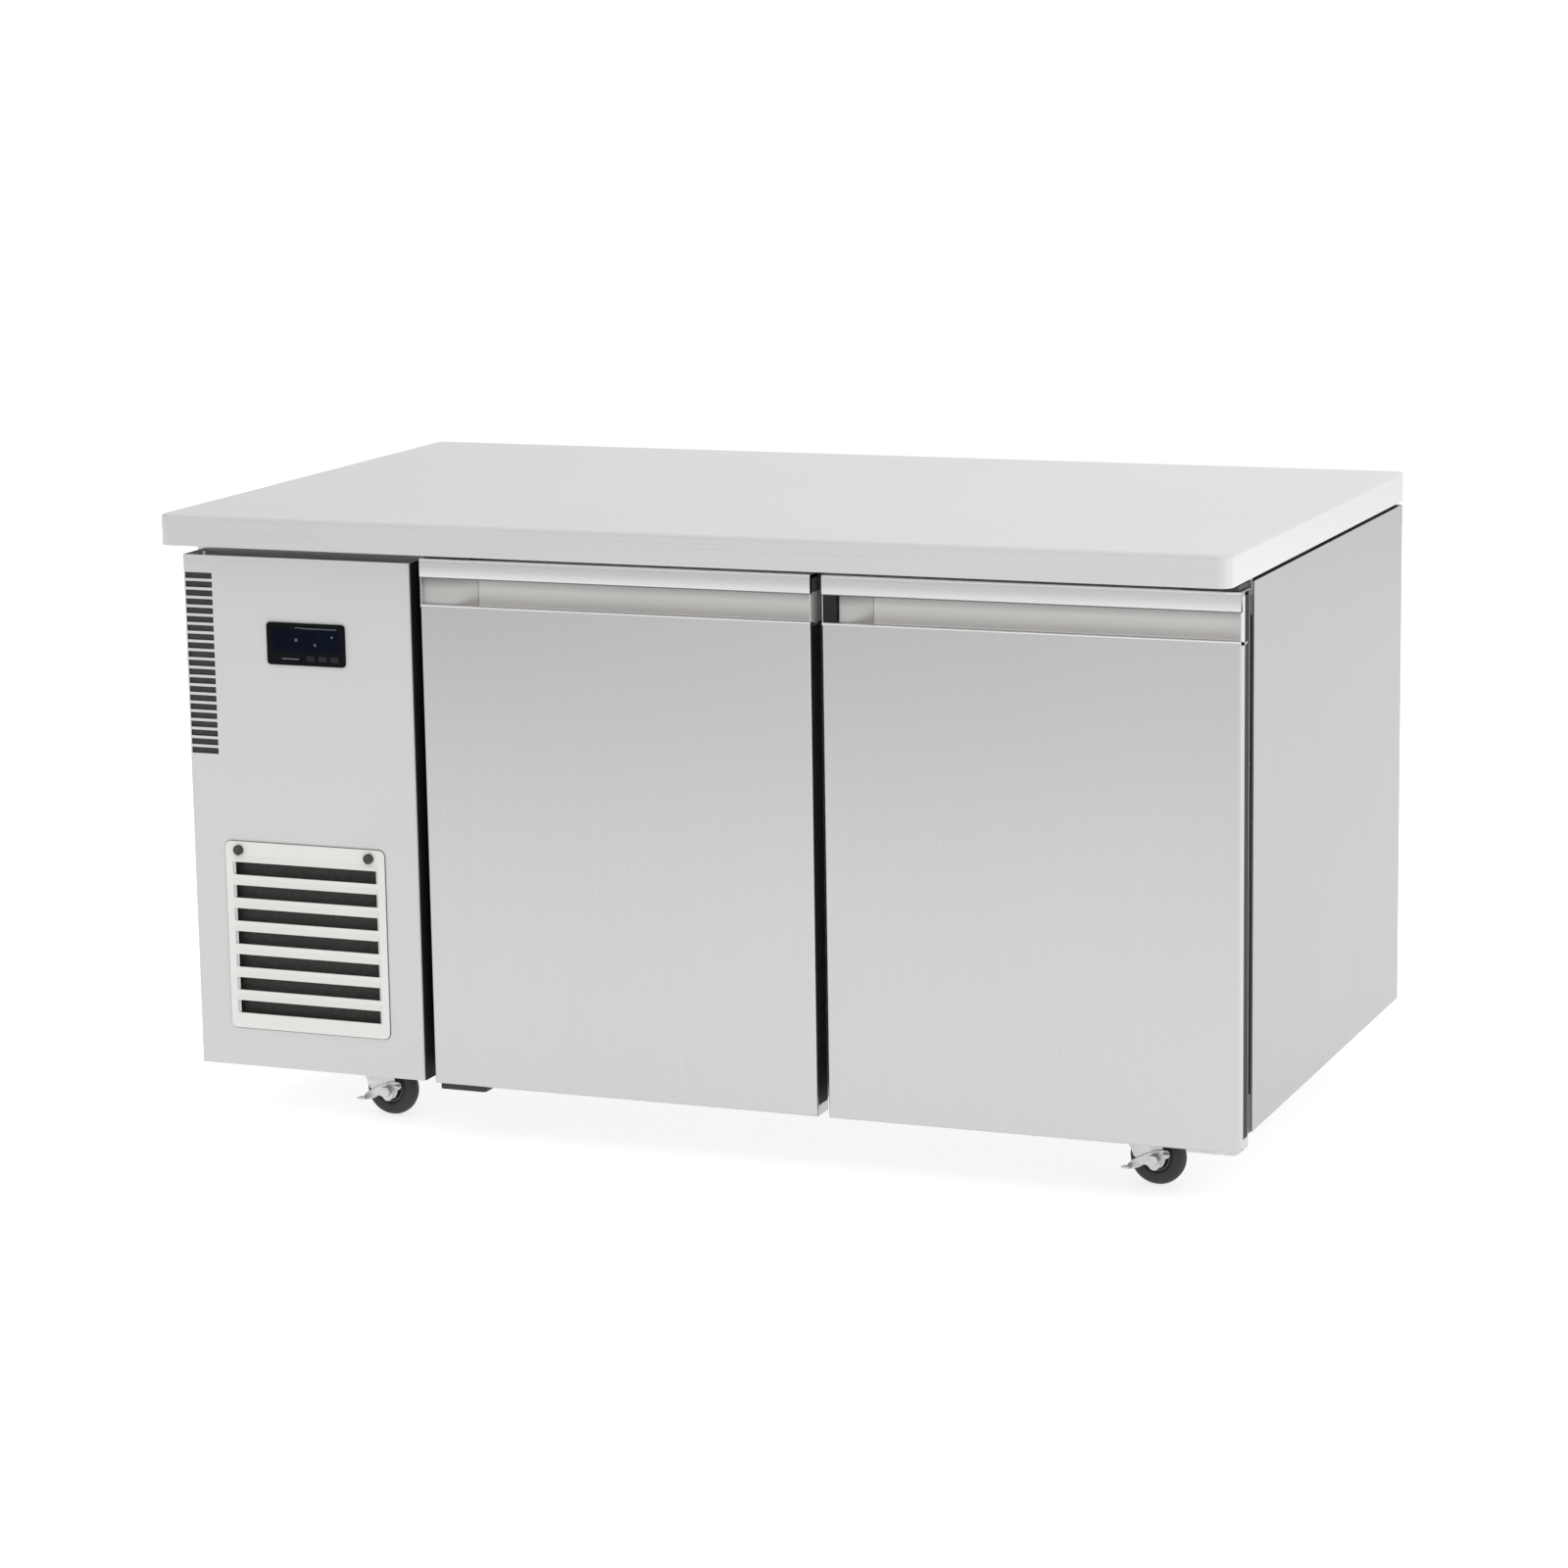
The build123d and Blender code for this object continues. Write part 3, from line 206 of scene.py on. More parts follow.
finishes = {
    "worktop": surface("worktop_steel_painted_lighter", WORKTOP_STEEL_PAINTED_LIGHTER, (0.26, 0.34), 1.0, (2.0, 0.015), ALONG_X,
                       1.2e-6),
    "door": surface("door_steel", DOOR_STEEL, (0.27, 0.33), 1.0, (1.5, 0.012), ALONG_Z, 8e-7),
    "side": surface("side_steel_painted_darker", SIDE_STEEL_PAINTED_DARKER, (0.28, 0.36), 1.0, (2.0, 0.012), ALONG_Z, 1e-6),
    "rail": surface("rail_steel", (0.66, 0.66, 0.66), (0.28, 0.38), 1.0, (4.0, 0.03), ALONG_X,
                    4e-6),
    "handle": surface("handle_steel", (0.66, 0.665, 0.672), (0.24, 0.31), 1.0, (5.0, 0.02),
                      ALONG_X, 6e-7),
    # painted shade: the recess and its step are copies of the handle steel made darker and warmer, the
    # step darker still
    "recess": surface("recess_steel_painted_shade", (0.64, 0.625, 0.61), (0.3, 0.38), 1.0, (5.0, 0.02), ALONG_X,
                      6e-7),
    "step": surface("recess_step_steel_painted_shade", (0.5, 0.488, 0.475), (0.32, 0.4), 1.0, (5.0, 0.02),
                    ALONG_X, 6e-7),
    # painted highlight and painted shade: a light and a dark copy of the handle steel for the folds
    # that face up and down
    "painted_fold_highlight": surface("painted_highlight_fold_steel", (0.94, 0.94, 0.945), (0.28, 0.36), 0.45,
                          (5.0, 0.01), ALONG_X, 4e-7),
    "painted_fold_shade": surface("painted_shade_fold_steel", (0.26, 0.253, 0.247), (0.4, 0.5), 0.8,
                          (5.0, 0.02), ALONG_X, 4e-7),
    "liner": surface("liner_steel", (0.62, 0.62, 0.62), (0.3, 0.42), 1.0, (4.0, 0.03), ALONG_X,
                     4e-6),
    "panel": surface("panel_paint", (0.61, 0.61, 0.61), (0.42, 0.5), 0.0, (3.0, 0.012), 700.0,
                     8e-6),
    "grille": surface("grille_paint", (0.74, 0.735, 0.71), (0.38, 0.48), 0.0, (6.0, 0.02), 900.0,
                      6e-6),
    "galvanised": surface("galvanised", (0.5, 0.51, 0.52), (0.36, 0.52), 1.0, (90.0, 0.06), 160.0,
                          6e-6),
    # painted shade: the cabinet's foam is coloured near black so the gaps that show it look dark
    "painted_shade_foam": surface("cabinet_foam_painted_shade", (0.03, 0.03, 0.03), (0.6, 0.75), 0.0, (20.0, 0.1), 300.0,
                      1e-5),
    "foam": surface("foam", (0.72, 0.62, 0.36), (0.75, 0.9), 0.0, (40.0, 0.08), 500.0, 2e-4),
    "core": surface("core_board", (0.7, 0.695, 0.68), (0.55, 0.7), 0.0, (120.0, 0.04), 400.0, 2e-5),
    # dark rubber for the handles' free end plates, and painted shadow for the thin line round the
    # intake grille
    "seal_and_shadow": surface("dark_rubber_and_painted_grille_shadow", (0.12, 0.115, 0.11), (0.6, 0.7), 0.0, (30.0, 0.1), 300.0,
                    2e-5),
    "gasket": surface("gasket_rubber", (0.06, 0.062, 0.065), (0.45, 0.6), 0.0, (30.0, 0.1), 300.0,
                      2e-5),
    "black_steel": surface("black_steel", (0.018, 0.018, 0.019), (0.35, 0.55), 0.0, (60.0, 0.2),
                           700.0, 2e-5),
    "zinc": surface("zinc_plate", (0.6, 0.605, 0.61), (0.34, 0.5), 1.0, (70.0, 0.1), 220.0, 6e-6),
    "tyre": surface("caster_tyre", (0.022, 0.022, 0.023), (0.5, 0.7), 0.0, (50.0, 0.2), 500.0,
                    3e-5),
    "hub": surface("caster_hub", (0.05, 0.05, 0.052), (0.4, 0.55), 0.0, (80.0, 0.08), 600.0, 1e-5),
    "plastic": surface("black_plastic", (0.004, 0.0045, 0.005), (0.32, 0.45), 0.0, (40.0, 0.15),
                       1200.0, 1e-5, Specular_IOR_Level=0.06),
    "edge": surface("door_edge_plastic", (0.016, 0.016, 0.017), (0.5, 0.62), 0.0, (30.0, 0.15),
                    900.0, 1e-5, Specular_IOR_Level=0.2),
    "cap": surface("end_cap_plastic", (0.62, 0.61, 0.595), (0.4, 0.5), 0.0, (30.0, 0.05), 900.0,
                   1e-5),
    "display": surface("display_glass", (0.002, 0.004, 0.013), (0.08, 0.13), 0.0, (30.0, 0.3), 60.0,
                       Specular_IOR_Level=0.06),
    "legend": surface("display_legend", (0.16, 0.18, 0.24), (0.5, 0.6), 0.0, (200.0, 0.1), 900.0),
    "key": surface("key_plastic", (0.012, 0.014, 0.02), (0.35, 0.5), 0.0, (200.0, 0.1), 900.0, 1e-5,
                   Specular_IOR_Level=0.2),
    "screw": surface("screw_black", (0.06, 0.06, 0.06), (0.25, 0.4), 0.8, (200.0, 0.2), 900.0,
                     1e-5),
    "filter": surface("filter_mesh", (0.035, 0.032, 0.029), (0.6, 0.8), 0.0, (300.0, 0.3), 900.0,
                      1e-4),
    "copper": surface("copper", (0.72, 0.36, 0.22), (0.25, 0.45), 1.0, (40.0, 0.15), 200.0, 1e-5),
    "fins": surface("fin_aluminium", (0.62, 0.63, 0.64), (0.3, 0.5), 1.0, (30.0, 0.08),
                    (700.0, 4.0, 4.0), 1e-4),
    "aluminium": surface("cover_aluminium", (0.7, 0.71, 0.72), (0.3, 0.45), 1.0, (10.0, 0.05),
                         300.0, 1e-5),
    "fan": surface("fan_plastic", (0.025, 0.025, 0.027), (0.4, 0.55), 0.0, (40.0, 0.1), 900.0,
                   1e-5),
    "chrome": surface("shelf_chrome", (0.75, 0.76, 0.77), (0.1, 0.22), 1.0, (60.0, 0.05), 300.0,
                      1e-5),
    "grommet": surface("grommet_rubber", (0.03, 0.03, 0.03), (0.6, 0.75), 0.0, (60.0, 0.1), 500.0,
                       2e-5),
    "pan": surface("pan_plastic", (0.3, 0.31, 0.32), (0.4, 0.55), 0.0, (20.0, 0.05), 900.0, 1e-5),
}

mouth_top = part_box("left_door_handle")[0].z + HANDLE_MOUTH[1]
LIP_SHADOW = (15 * MM, 1 * MM, 0.5)  # where the painted lip shadow starts and ends below the lip, and its darkest
for finish in ("recess", "step"):
    darken_upwards(finishes[finish], mouth_top - LIP_SHADOW[0], mouth_top - LIP_SHADOW[1],
                   LIP_SHADOW[2])

dressed = {
    "worktop": "worktop", "worktop_core": "core", "worktop_bearers": "edge",
    "left_side_panel": "side", "right_side_panel": "side", "front_rails": "rail",
    "base_panel": "galvanised", "back_panel": "galvanised", "partition_panel": "galvanised",
    "inner_liner": "liner", "cabinet_insulation": "painted_shade_foam", "door_jambs": "edge",
    "centre_mullion": "liner", "control_panel": "panel", "intake_grille": "grille",
    "grille_screws": "screw", "dust_filter": "filter", "controller_housing": "plastic",
    "display_window": "display", "key_set": "key", "key_up": "key", "key_down": "key",
    "condenser": "fins", "condenser_fan_shroud": "galvanised", "condenser_fan": "fan",
    "compressor": "black_steel", "compressor_grommets": "grommet", "refrigerant_lines": "copper",
    "drain_pan": "pan", "electrical_fittings": "plastic",
    "evaporator_cover": "aluminium", "evaporator": "fins", "fan_motors": "black_steel",
    "evaporator_fan": "fan", "wire_shelves": "chrome", "shelf_supports": "liner",
    "hinge_brackets": "black_steel", "caster_plates": "zinc",
}
for side in SIDES:
    dressed.update({f"{side}_door_handle": "handle", f"{side}_door_skin": "door",
                    f"{side}_door_core": "foam", f"{side}_door_liner": "liner",
                    f"{side}_door_gasket": "gasket", f"{side}_door_frame": "edge",
                    f"{side}_brake_lever": "zinc"})
    for end in ENDS:
        dressed.update({f"{end}_{side}_caster_fork": "zinc", f"{end}_{side}_caster_wheel": "tyre"})

for name, node in nodes.items():
    node.data.materials.clear()
    node.data.materials.append(finishes[dressed[name]])


# ------------------------------------------------------------------ piece building
def add_piece(name, bm, finish, body, replaces=(), round_edges=0.0, segments=2, sharp=40.0):
    """Turns a bmesh into a piece that rides on a body, with rounded edges and smooth shading."""
    bmesh.ops.recalc_face_normals(bm, faces=bm.faces)
    mesh = bpy.data.meshes.new(name)
    bm.to_mesh(mesh)
    bm.free()
    mesh.materials.append(finishes[finish])
    piece = bpy.data.objects.new(name, mesh)
    scene.collection.objects.link(piece)
    mesh.shade_smooth()
    mesh.set_sharp_from_angle(angle=math.radians(sharp))
    if round_edges:
        rounding = piece.modifiers.new("rounded_edges", "BEVEL")
        rounding.width, rounding.segments = round_edges, segments
        rounding.limit_method, rounding.angle_limit = "ANGLE", math.radians(sharp)
        rounding.harden_normals = True
    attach(piece, body)
    if replaces:
        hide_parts(*replaces)
    return piece


def point(axis, u, v, w):
    """The point at (u, v) in an outline drawn across axis, at w along that axis."""
    return {"X": (w, u, v), "Y": (u, w, v), "Z": (u, v, w)}[axis]


def prism(bm, outline, low, high, axis):
    """Extrudes a closed outline between two planes across axis; points are (y, z), (x, z) or (x, y)."""
    first = [bm.verts.new(point(axis, u, v, low)) for u, v in outline]
    second = [bm.verts.new(point(axis, u, v, high)) for u, v in outline]
    bm.faces.new(first)
    bm.faces.new(list(reversed(second)))
    for i in range(len(outline)):
        j = (i + 1) % len(outline)
        bm.faces.new((first[i], second[i], second[j], first[j]))


def block(bm, u, v, low, high, axis):
    """Extrudes a plain rectangle, given as its two spans."""
    prism(bm, [(u[0], v[0]), (u[1], v[0]), (u[1], v[1]), (u[0], v[1])], low, high, axis)


def lathe(bm, profile, centre, axis="Y", steps=64):
    """Turns a closed (radius, along) profile about an axis through centre."""
    rings = []
    for step in range(steps):
        angle = 2 * math.pi * step / steps
        c, s = math.cos(angle), math.sin(angle)
        rings.append([bm.verts.new(Vector(centre) + Vector(point(axis, radius * c, radius * s, along)))
                      for radius, along in profile])
    count = len(profile)
    for step in range(steps):
        near, far = rings[step], rings[(step + 1) % steps]
        for i in range(count):
            j = (i + 1) % count
            bm.faces.new((near[i], near[j], far[j], far[i]))
    bmesh.ops.remove_doubles(bm, verts=bm.verts, dist=1e-7)
    bmesh.ops.dissolve_degenerate(bm, edges=bm.edges, dist=1e-7)


def rod(bm, radius, low, high, centre, axis="Y", steps=24):
    """A solid round bar between two distances along its axis."""
    lathe(bm, [(0.0, low), (radius, low), (radius, high), (0.0, high)], centre, axis, steps)


def arc(centre, radius, start, end, steps=5):
    """Points on an arc from start to end degrees, in the outline's own two axes."""
    points = []
    for i in range(steps + 1):
        angle = math.radians(start + (end - start) * i / steps)
        points.append((centre[0] + radius * math.cos(angle), centre[1] + radius * math.sin(angle)))
    return points


def rounded_rectangle(x, z, corner, steps=5):
    """Outline of the rectangle between two spans, with its corners rounded."""
    (x0, x1), (z0, z1) = x, z
    return (arc((x1 - corner, z1 - corner), corner, 0, 90, steps)
            + arc((x0 + corner, z1 - corner), corner, 90, 180, steps)
            + arc((x0 + corner, z0 + corner), corner, 180, 270, steps)
            + arc((x1 - corner, z0 + corner), corner, 270, 360, steps))


def plate_with_holes(bm, outer, holes, low, high, axis="Y"):
    """Extrudes a rounded outline with holes in it; every outline is a list of points."""
    loops = []
    for outline in (outer, *holes):
        ring = [bm.verts.new(point(axis, u, v, low)) for u, v in outline]
        loops.append([bm.edges.new((ring[i], ring[(i + 1) % len(ring)])) for i in range(len(ring))])
    edges = [edge for loop in loops for edge in loop]
    made = bmesh.ops.triangle_fill(bm, use_beauty=True, use_dissolve=False, edges=edges)
    faces = [g for g in made["geom"] if isinstance(g, bmesh.types.BMFace)]
    grown = bmesh.ops.extrude_face_region(bm, geom=faces)
    moved = [g for g in grown["geom"] if isinstance(g, bmesh.types.BMVert)]
    bmesh.ops.translate(bm, vec=point(axis, 0, 0, high - low), verts=moved)


# ------------------------------------------------------------------ door handles
SHEET, PLATE_T, CLEAR = 1.5 * MM, 1.2 * MM, 0.2 * MM
CHANNEL_DEPTH, LIP_DEPTH, CEILING_DROP, GUTTER_DROP = 28 * MM, 7 * MM, 6 * MM, 1.5 * MM
LIP_R, ROLL_R, CORNER_R = 3.5 * MM, 3.2 * MM, 3.0 * MM
ROLL_DROP, FRONT_LEDGE, FRONT_STEP = 1.4 * MM, 4.5 * MM, 0.5 * MM
FRONT_FOLDS = 2 * ROLL_R + 1 * MM     # how far back the lip and the lower roll reach
FOLD_SLOPE = 0.35                     # a fold that leans more than this gets a painted highlight (facing up) or painted shade (facing down)
HINGE_RETURN, FREE_RETURN = 18 * MM, 5 * MM
CAP_RISE = 2 * MM                     # cap across the recess, above the mouth
STEP_DEPTH, STEP_RUN, STEP_ROUND = 8 * MM, 26 * MM, 1.2 * MM
STEP_SPAN = {"left": (0.4 * MM, 48 * MM), "right": (20 * MM, 36 * MM)}
SHADOW_BLOCK_SPAN, SHADOW_BLOCK_RISE, SHADOW_BLOCK_R, SHADOW_BLOCK_ROUND = (0.6 * MM, 19.4 * MM), 2.5 * MM, 1.2 * MM, 0.5 * MM


def handle_shape(side):
    """The levels that a handle's pieces share: y grows to the rear, z upwards."""
    low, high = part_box(f"{side}_door_handle")
    return SimpleNamespace(
        x=(low.x, high.x), face=low.y, rear=high.y, bottom=low.z, top=high.z,
        mouth_low=low.z + HANDLE_MOUTH[0], mouth_high=low.z + HANDLE_MOUTH[1],
        back=low.y + CHANNEL_DEPTH, lip_back=low.y + LIP_DEPTH,
        ceiling=high.z - CEILING_DROP, gutter=low.z - GUTTER_DROP)


def handle_channel(side, at):
    """The folded channel itself: a rounded lip above an open recess."""
    inside = (arc((at.face + ROLL_R, at.mouth_low - ROLL_DROP), ROLL_R, 180, 40, 8)
              + arc((at.back - CORNER_R, at.gutter + CORNER_R), CORNER_R, 270, 360, 5)
              + arc((at.back - CORNER_R, at.ceiling - CORNER_R), CORNER_R, 0, 90, 5)
              + [(at.lip_back, at.ceiling)]
              + arc((at.face + LIP_R, at.mouth_high + LIP_R), LIP_R, 0, -180, 8))
    outside = (arc((at.face + LIP_R, at.top - LIP_R), LIP_R, 180, 90, 6)
               + [(at.rear, at.top), (at.rear, at.top - SHEET), (at.back + SHEET, at.top - SHEET),
                  (at.back + SHEET, at.gutter - SHEET), (at.face + FRONT_LEDGE, at.gutter - SHEET),
                  (at.face + SHEET, at.bottom - FRONT_STEP), (at.face, at.bottom)])
    bm = bmesh.new()
    prism(bm, inside + outside, *at.x, "X")
    channel = add_piece(f"{side}_handle_channel", bm, "handle", f"{side}_door",
                        (f"{side}_door_handle",))
    plain, recess, lit, shaded = range(4)
    for finish in ("recess", "painted_fold_highlight", "painted_fold_shade"):
        channel.data.materials.append(finishes[finish])
    # Faces get painted highlight, painted shade or the recess's painted-shade finish by where they lie
    # and which way they face.
    for polygon in channel.data.polygons:
        if polygon.center.y > at.face + FRONT_FOLDS:
            polygon.material_index = recess if polygon.center.z < at.ceiling + 1 * MM else plain
        elif abs(polygon.normal.z) > FOLD_SLOPE:
            polygon.material_index = lit if polygon.normal.z > 0 else shaded


def handle_end(side, at, label):
    """An end plate: bright on the hinge side, else a pale cap across the recess; dark beyond."""
    x = (at.x[0], at.x[0] + PLATE_T) if label == "low" else (at.x[1] - PLATE_T, at.x[1])
    on_hinge = (label == "low") == (side == "left")
    cap_back = at.face + HINGE_RETURN if on_hinge else at.rear
    cap_top = at.ceiling if on_hinge else at.mouth_high + CAP_RISE
    front = at.face + SHEET
    cap, plate = bmesh.new(), bmesh.new()
    prism(cap, [(front, at.bottom), (cap_back, at.bottom), (cap_back, cap_top), (at.lip_back, cap_top),
                (front, at.mouth_high + CAP_RISE)], *x, "X")
    if on_hinge:
        block(plate, (cap_back, at.rear), (at.bottom, at.top - SHEET), *x, "X")
    else:
        block(plate, (front, at.rear), (cap_top, at.top - SHEET), *x, "X")
    add_piece(f"{side}_handle_cap_{label}", cap, "handle" if on_hinge else "cap", f"{side}_door")
    add_piece(f"{side}_handle_plate_{label}", plate, "edge" if on_hinge else "seal_and_shadow", f"{side}_door")


def recess_step(side, at):
    """The recess is shallower at its left end, with a slanted step down to its full depth."""
    start, end = (at.x[0] + reach for reach in STEP_SPAN[side])
    near, far = at.face + STEP_DEPTH, at.back - CLEAR
    bm = bmesh.new()
    prism(bm, [(start, near), (end, near), (end + STEP_RUN, far), (start, far)], at.gutter + CLEAR,
          at.ceiling - CLEAR, "Z")
    # the step's darker finish is painted shade
    add_piece(f"{side}_recess_step", bm, "step", f"{side}_door",
              round_edges=STEP_ROUND, segments=3)


def recess_shadow_block(at):
    """A dark block at the left end of the right door's recess: painted shadow that stands in for the
    dark inside of the channel's open end.
    """
    bm = bmesh.new()
    outline = rounded_rectangle([at.x[0] + reach for reach in SHADOW_BLOCK_SPAN],
                                (at.mouth_low + SHADOW_BLOCK_RISE, at.mouth_high + CAP_RISE), SHADOW_BLOCK_R, 3)
    prism(bm, outline, at.face + SHEET, at.back - CLEAR, "Y")
    add_piece("right_recess_shadow_block", bm, "edge", "right_door", round_edges=SHADOW_BLOCK_ROUND)


for side in SIDES:
    shape = handle_shape(side)
    handle_channel(side, shape)
    for label in ("low", "high"):
        handle_end(side, shape, label)
    recess_step(side, shape)
    if side == "right":
        recess_shadow_block(shape)


# ------------------------------------------------------------------ door skins and their frames
FOLD_R, TAB_H = 3.0 * MM, 14 * MM
FRAME_INSET, FOLD_INSET = 0.1 * MM, 0.8 * MM


def door_skin(side):
    """A folded skin with rounded edges, deeper on the hinge side, and the dark frame behind it."""
    low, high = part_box(f"{side}_door_skin")
    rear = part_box(f"{side}_door_frame")[1].y
    returns = (HINGE_RETURN, FREE_RETURN) if side == "left" else (FREE_RETURN, HINGE_RETURN)
    face, t = low.y, PLATE_T
    left_end, right_end = (face + depth for depth in returns)
    left_fold, right_fold = (low.x + FOLD_R, face + FOLD_R), (high.x - FOLD_R, face + FOLD_R)
    outer = arc(left_fold, FOLD_R, 180, 270) + arc(right_fold, FOLD_R, 270, 360)
    inner = arc(right_fold, FOLD_R - t, 360, 270) + arc(left_fold, FOLD_R - t, 270, 180)
    bm = bmesh.new()
    prism(bm, [(low.x, left_end)] + outer + [(high.x, right_end), (high.x - t, right_end)] + inner
          + [(low.x + t, left_end)], low.z + FOLD_R, high.z, "Z")
    add_piece(f"{side}_skin_wrap", bm, "door", f"{side}_door", (f"{side}_door_skin",))

    bm = bmesh.new()
    fold, fold_end = (face + FOLD_R, low.z + FOLD_R), face + HINGE_RETURN
    prism(bm, arc(fold, FOLD_R, 180, 270) + [(fold_end, low.z), (fold_end, low.z + t)]
          + arc(fold, FOLD_R - t, 270, 180), low.x + FOLD_INSET, high.x - FOLD_INSET, "X")
    add_piece(f"{side}_skin_bottom_fold", bm, "door", f"{side}_door")

    frame, tabs = bmesh.new(), bmesh.new()
    strips = (((low.x + FRAME_INSET, low.x + t), (left_end, rear)),
              ((high.x - t, high.x - FRAME_INSET), (right_end, rear)))
    for x, y in strips:
        block(frame, x, y, low.z + TAB_H, high.z, "Z")
        block(tabs, x, y, low.z, low.z + TAB_H, "Z")
    block(frame, (fold_end, rear), (low.z + FRAME_INSET, low.z + t), low.x + t, high.x - t, "X")
    add_piece(f"{side}_corner_tabs", tabs, "door", f"{side}_door")
    add_piece(f"{side}_frame_ring", frame, "edge", f"{side}_door",
              (f"{side}_door_frame",))


for side in SIDES:
    door_skin(side)


# ------------------------------------------------------------------ controller, grille and vent
# Places on the controller are fractions of its width from the left and of its height from the top.
BARS = ((0.42, 0.11, 0.1, 0.012), (0.68, 0.12, 0.44, 0.014), (0.3, 0.85, 0.22, 0.02))
BAR_R, BAR_PROUD, MARK_SUNK = 0.25 * MM, 0.15 * MM, 0.3 * MM
STARS = ((0.38, 0.4, 2.6 * MM), (0.62, 0.5, 2.2 * MM), (0.84, 0.3, 1.8 * MM))
RAY_HALF, RAY_TURN, RAY_PROUD, RAY_STEP = 0.35 * MM, 0.3, 0.05 * MM, 0.04 * MM
KEY_INSET, KEY_LIFT, KEY_R, KEY_ROUND = 0.1 * MM, 0.3 * MM, 1.5 * MM, 0.4 * MM
SHADOW_LINE_OUT, SHADOW_LINE_IN, SHADOW_LINE_R, SHADOW_LINE_IN_R = 1 * MM, 3 * MM, 10 * MM, 6 * MM
SHADOW_LINE_Y = (-0.7 * MM, -0.02 * MM)
SCREEN_X, SCREEN_Z = (1.6 * MM, 50 * MM), (0.5, 0.775)
SCREEN_Y, SCREEN_R = (2.4 * MM, 3.2 * MM), 2 * MM


def controller_marks():
    """Plain bars on the bezel and three small stars on the display."""
    low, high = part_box("controller_housing")
    width, height = high.x - low.x, high.z - low.z
    bm = bmesh.new()
    for across, down, wide, tall in BARS:
        x, z = low.x + across * width, high.z - down * height
        w, h = wide * width / 2, tall * height / 2
        prism(bm, rounded_rectangle((x - w, x + w), (z - h, z + h), BAR_R, 2), low.y - BAR_PROUD,
              low.y + MARK_SUNK, "Y")
    add_piece("bezel_trim", bm, "legend", "cabinet")

    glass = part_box("display_window")[0].y
    bm = bmesh.new()
    for across, down, size in STARS:
        here = Vector((low.x + across * width, high.z - down * height))
        for turn in range(3):
            angle = math.pi / 3 * turn + RAY_TURN
            along = Vector((math.cos(angle), math.sin(angle))) * size
            beside = Vector((-math.sin(angle), math.cos(angle))) * RAY_HALF
            outline = [here - along - beside, here + along - beside, here + along + beside,
                       here - along + beside]
            prism(bm, [tuple(p) for p in outline], glass - RAY_PROUD - RAY_STEP * turn,
                  glass + MARK_SUNK, "Y")
    add_piece("display_icons", bm, "legend", "cabinet")


def key_cap(key):
    """A rounded key, lifted a little at its foot to clear the panel when it is pressed."""
    low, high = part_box(f"key_{key}")
    bm = bmesh.new()
    outline = rounded_rectangle((low.x + KEY_INSET, high.x - KEY_INSET),
                                (low.z + KEY_LIFT, high.z - KEY_INSET), KEY_R, 4)
    prism(bm, outline, low.y, high.y - KEY_INSET, "Y")
    add_piece(f"{key}_key_cap", bm, "key", f"{key}_key", (f"key_{key}",),
              round_edges=KEY_ROUND, segments=3)


def grille_shadow_outline():
    """A thin dark ring round the intake grille: painted shadow for the grille's outline."""
    low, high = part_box("intake_grille")
    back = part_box("control_panel")[0].y
    bm = bmesh.new()
    plate_with_holes(
        bm, rounded_rectangle((low.x - SHADOW_LINE_OUT, high.x + SHADOW_LINE_OUT),
                              (low.z - SHADOW_LINE_OUT, high.z + SHADOW_LINE_OUT), SHADOW_LINE_R),
        [rounded_rectangle((low.x + SHADOW_LINE_IN, high.x - SHADOW_LINE_IN), (low.z + SHADOW_LINE_IN, high.z - SHADOW_LINE_IN),
                           SHADOW_LINE_IN_R)],
        back + SHADOW_LINE_Y[0], back + SHADOW_LINE_Y[1])
    add_piece("grille_shadow_outline", bm, "seal_and_shadow", "cabinet")


def vent_shade_screen():
    """A dark sheet behind the vent slots: painted shade for the dark space behind them."""
    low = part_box("control_panel")[0]
    bm = bmesh.new()
    prism(bm, rounded_rectangle([low.x + reach for reach in SCREEN_X], SCREEN_Z, SCREEN_R, 3),
          low.y + SCREEN_Y[0], low.y + SCREEN_Y[1], "Y")
    add_piece("vent_shade_screen", bm, "filter", "cabinet")


controller_marks()
for key in ("set", "up", "down"):
    key_cap(key)
grille_shadow_outline()
vent_shade_screen()


# ------------------------------------------------------------------ hinge brackets
LEAF_W, LEAF_DEPTH, LEAF_R, LEAF_ROUND = 68 * MM, 53 * MM, 4 * MM, 0.4 * MM
FLANGE_INSET, FLANGE_T, FLANGE_TOP = 1 * MM, 3 * MM, 0.096
UPPER_T, LOWER_T = 6 * MM, {"left": 8 * MM, "right": 4 * MM}
PIN_R, DOOR_GAP, AXIS_INSET = 4 * MM, 0.6 * MM, 16 * MM
UPPER_PIN_Y, LOWER_PIN_Y = 16.6 * MM, 14.2 * MM      # from the leaf's front edge
UPPER_PIN_Z, LOWER_PIN_Z = (-5.5 * MM, 1 * MM), (-1 * MM, 14 * MM)   # from the leaf's door side


def hinge_bracket(bm, x, y, z, flange_z, pin_at, pin_z):
    """An L of plate with a pin: x, y and z are the leaf's spans."""
    prism(bm, rounded_rectangle(x, y, LEAF_R), *z, "Z")
    block(bm, (x[0] + FLANGE_INSET, x[1] - FLANGE_INSET), (y[1] - FLANGE_T, y[1]), *flange_z, "Z")
    rod(bm, PIN_R, *pin_z, (*pin_at, 0), "Z")


